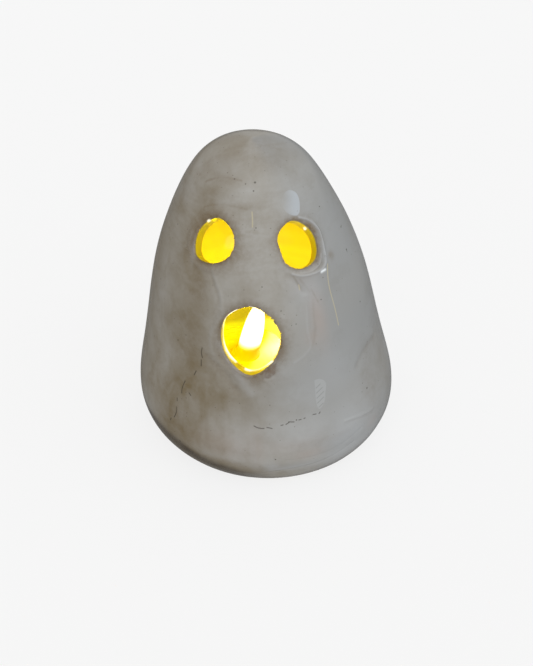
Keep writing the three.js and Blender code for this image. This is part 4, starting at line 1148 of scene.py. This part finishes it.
def flame_mesh():
    """The hollow flame, rounder than the CAD solid, with the same foot, neck, bore and tip, and a skirt."""
    low, high = (np.array(c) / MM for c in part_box("flame_lens"))
    x, y, _ = (low + high) / 2
    foot, top, flange = low[2], high[2], (high[1] - low[1]) / 2
    bore, shoulder, neck, widest = 2.8, foot + 2.9, flange - 2.8, foot + 7.3
    turn = np.arange(48) / 48 * 2 * math.pi

    def ring(radius, height, lean=0.0):
        return np.stack([x + lean + radius * np.cos(turn), y + radius * np.sin(turn), np.full(48, height)], 1)

    rings = [ring(r, h) for r, h in corner(0, shoulder, bore, 80, 0, 8)]
    rings += [ring(bore, foot + 0.7), ring(bore + 0.4, foot + 0.3), ring(bore + 0.4, foot)]
    rings += [ring(flange, foot), ring(flange, foot + 1), ring(neck, foot + 1), ring(neck, foot + 2.2)]
    lean, skirt = 0.86 * (high[0] - x), foot + 2.25
    for up in np.linspace(0, 1, 11)[:-1]:
        level = skirt + (widest - skirt) * up**1.7
        radius = neck + 0.35 + 2.4 * (1 - up) ** 2
        rings.append(ring(radius, level, lean * ((level - skirt) / (top - skirt)) ** 0.8))
    for up in np.sin(np.arange(36) / 36 * math.pi / 2):
        level = widest + (top - widest) * up
        radius = (neck + 0.35) * (1 - up**2.5) ** 0.58
        rings.append(ring(radius, level, lean * ((level - skirt) / (top - skirt)) ** 0.8))
    return skin("flame", rings, (x, y, shoulder + bore), (x + lean, y, top))


GLAZE = glazed_clay()
ghost.data.materials.clear()
ghost.data.materials.append(GLAZE)
ghost.name = "ghost"
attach(ghost, "ghost")
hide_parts("ghost_shell")

flame_piece = flame_mesh()
flame_piece.data.materials.append(flame())
flame_piece.data.shade_smooth()
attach(flame_piece, "tealight")
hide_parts("flame_lens")

white = moulded("white_plastic", (0.83, 0.79, 0.68), (0.79, 0.74, 0.61), 0.42).material
steel = metal("contact_metal", (0.62, 0.61, 0.58), (0.42, 0.4, 0.36), 0.22, (0.2, 3, 3))
cell = metal("battery_steel", (0.55, 0.56, 0.58), (0.4, 0.4, 0.41), 0.18, (3, 0.25, 3))
black = moulded("black_plastic", (0.028, 0.028, 0.03), (0.04, 0.04, 0.042), 0.45).material
LOOKS = {
    "candle_housing": wax(),
    "base_plate": white,
    "battery_door": white,
    "led_body": epoxy(),
    "led_anode_lead": steel,
    "led_cathode_lead": steel,
    "door_screw": steel,
    "switch_bridge": steel,
    "positive_contact": steel,
    "negative_contact": steel,
    "switch_slider": black,
    "battery_can": cell,
    "battery_cap": cell,
    "battery_seal": rubber(),
}
for name, look in LOOKS.items():
    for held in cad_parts[name].material_slots:
        held.material = look

# The floor: pale paper that glows evenly, painted dark where reflections see it, so the glaze reflects shade
bpy.ops.mesh.primitive_plane_add(size=8)
floor = bpy.context.active_object
floor.name = "floor"
look = Look("floor_paper", Roughness=0.9, Specular_IOR_Level=0.1)
mirrored = look.node("LightPath").outputs["Is Glossy Ray"]
paper = look.mixed(look.noise(look.place, 60, 2), (0.1, 0.1, 0.1), (0.103, 0.103, 0.103))
look.give("Base Color", look.mixed(mirrored, paper, (0.1, 0.1, 0.1)))
look.give("Emission Color", (1.0, 1.0, 1.0, 1))
look.give("Emission Strength", look.spread(mirrored, 0.0, 1.0, 0.815, 0.08))
floor.data.materials.append(look.material)

# Light: an even sky with a soft window to the right, and the yellow light of the flame inside
world = bpy.data.worlds.new("studio")
bpy.context.scene.world = world
world.use_nodes = True
sky = world.node_tree
background = sky.nodes["Background"]
towards = sky.nodes.new("ShaderNodeTexCoord").outputs["Generated"]


def glow(direction, low, high, colour, before=None):
    """Adds a soft patch of light to the sky, in one direction."""
    dot = sky.nodes.new("ShaderNodeVectorMath")
    dot.operation = "DOT_PRODUCT"
    sky.links.new(towards, dot.inputs[0])
    dot.inputs[1].default_value = Vector(direction).normalized()
    shape = sky.nodes.new("ShaderNodeMapRange")
    shape.interpolation_type = "SMOOTHSTEP"
    sky.links.new(dot.outputs["Value"], shape.inputs["Value"])
    shape.inputs["From Min"].default_value = low
    shape.inputs["From Max"].default_value = high
    mix = sky.nodes.new("ShaderNodeMix")
    mix.data_type = "RGBA"
    mix.blend_type = "ADD"
    sky.links.new(shape.outputs[0], mix.inputs[0])
    if before is None:
        mix.inputs[6].default_value = (0.48, 0.48, 0.475, 1)
    else:
        sky.links.new(before, mix.inputs[6])
    mix.inputs[7].default_value = (*colour, 1)
    return mix.outputs[2]


light = glow((0, 0, 1), 0.1, 1.0, (0.55, 0.55, 0.54))
light = glow((0.15, -0.75, 0.65), 0.4, 1.0, (0.5, 0.5, 0.5), light)
light = glow((0.85, -0.35, 0.4), 0.75, 0.97, (0.5, 0.56, 0.64), light)
light = glow((-0.9, -0.1, 0.1), 0.3, 0.9, (-0.1, -0.125, -0.19), light)
sky.links.new(light, background.inputs["Color"])
background.inputs["Strength"].default_value = 1.0

for colour, energy, x, y, z in (
    ((1.0, 0.76, 0.0), 0.018, -18, 8, 42),
    ((1.0, 0.76, 0.0), 0.018, -1, 8, 42),
    ((1.0, 0.76, 0.0), 0.015, -9.5, 2, 40),
    ((1.0, 0.85, 0.0), 0.0012, -21, 40, 8),
    ((1.0, 0.85, 0.0), 0.0012, 2, 40, 8),
    ((1.0, 0.95, 0.8), 0.003, 4.5, 18, 23),
):
    bulb = bpy.data.lights.new("flame_light", "POINT")
    bulb.color = colour
    bulb.energy = energy
    bulb.shadow_soft_size = 3 * MM
    held = bpy.data.objects.new("flame_light", bulb)
    held.location = (x * MM, y * MM, z * MM)
    held.visible_camera = False
    bpy.context.scene.collection.objects.link(held)
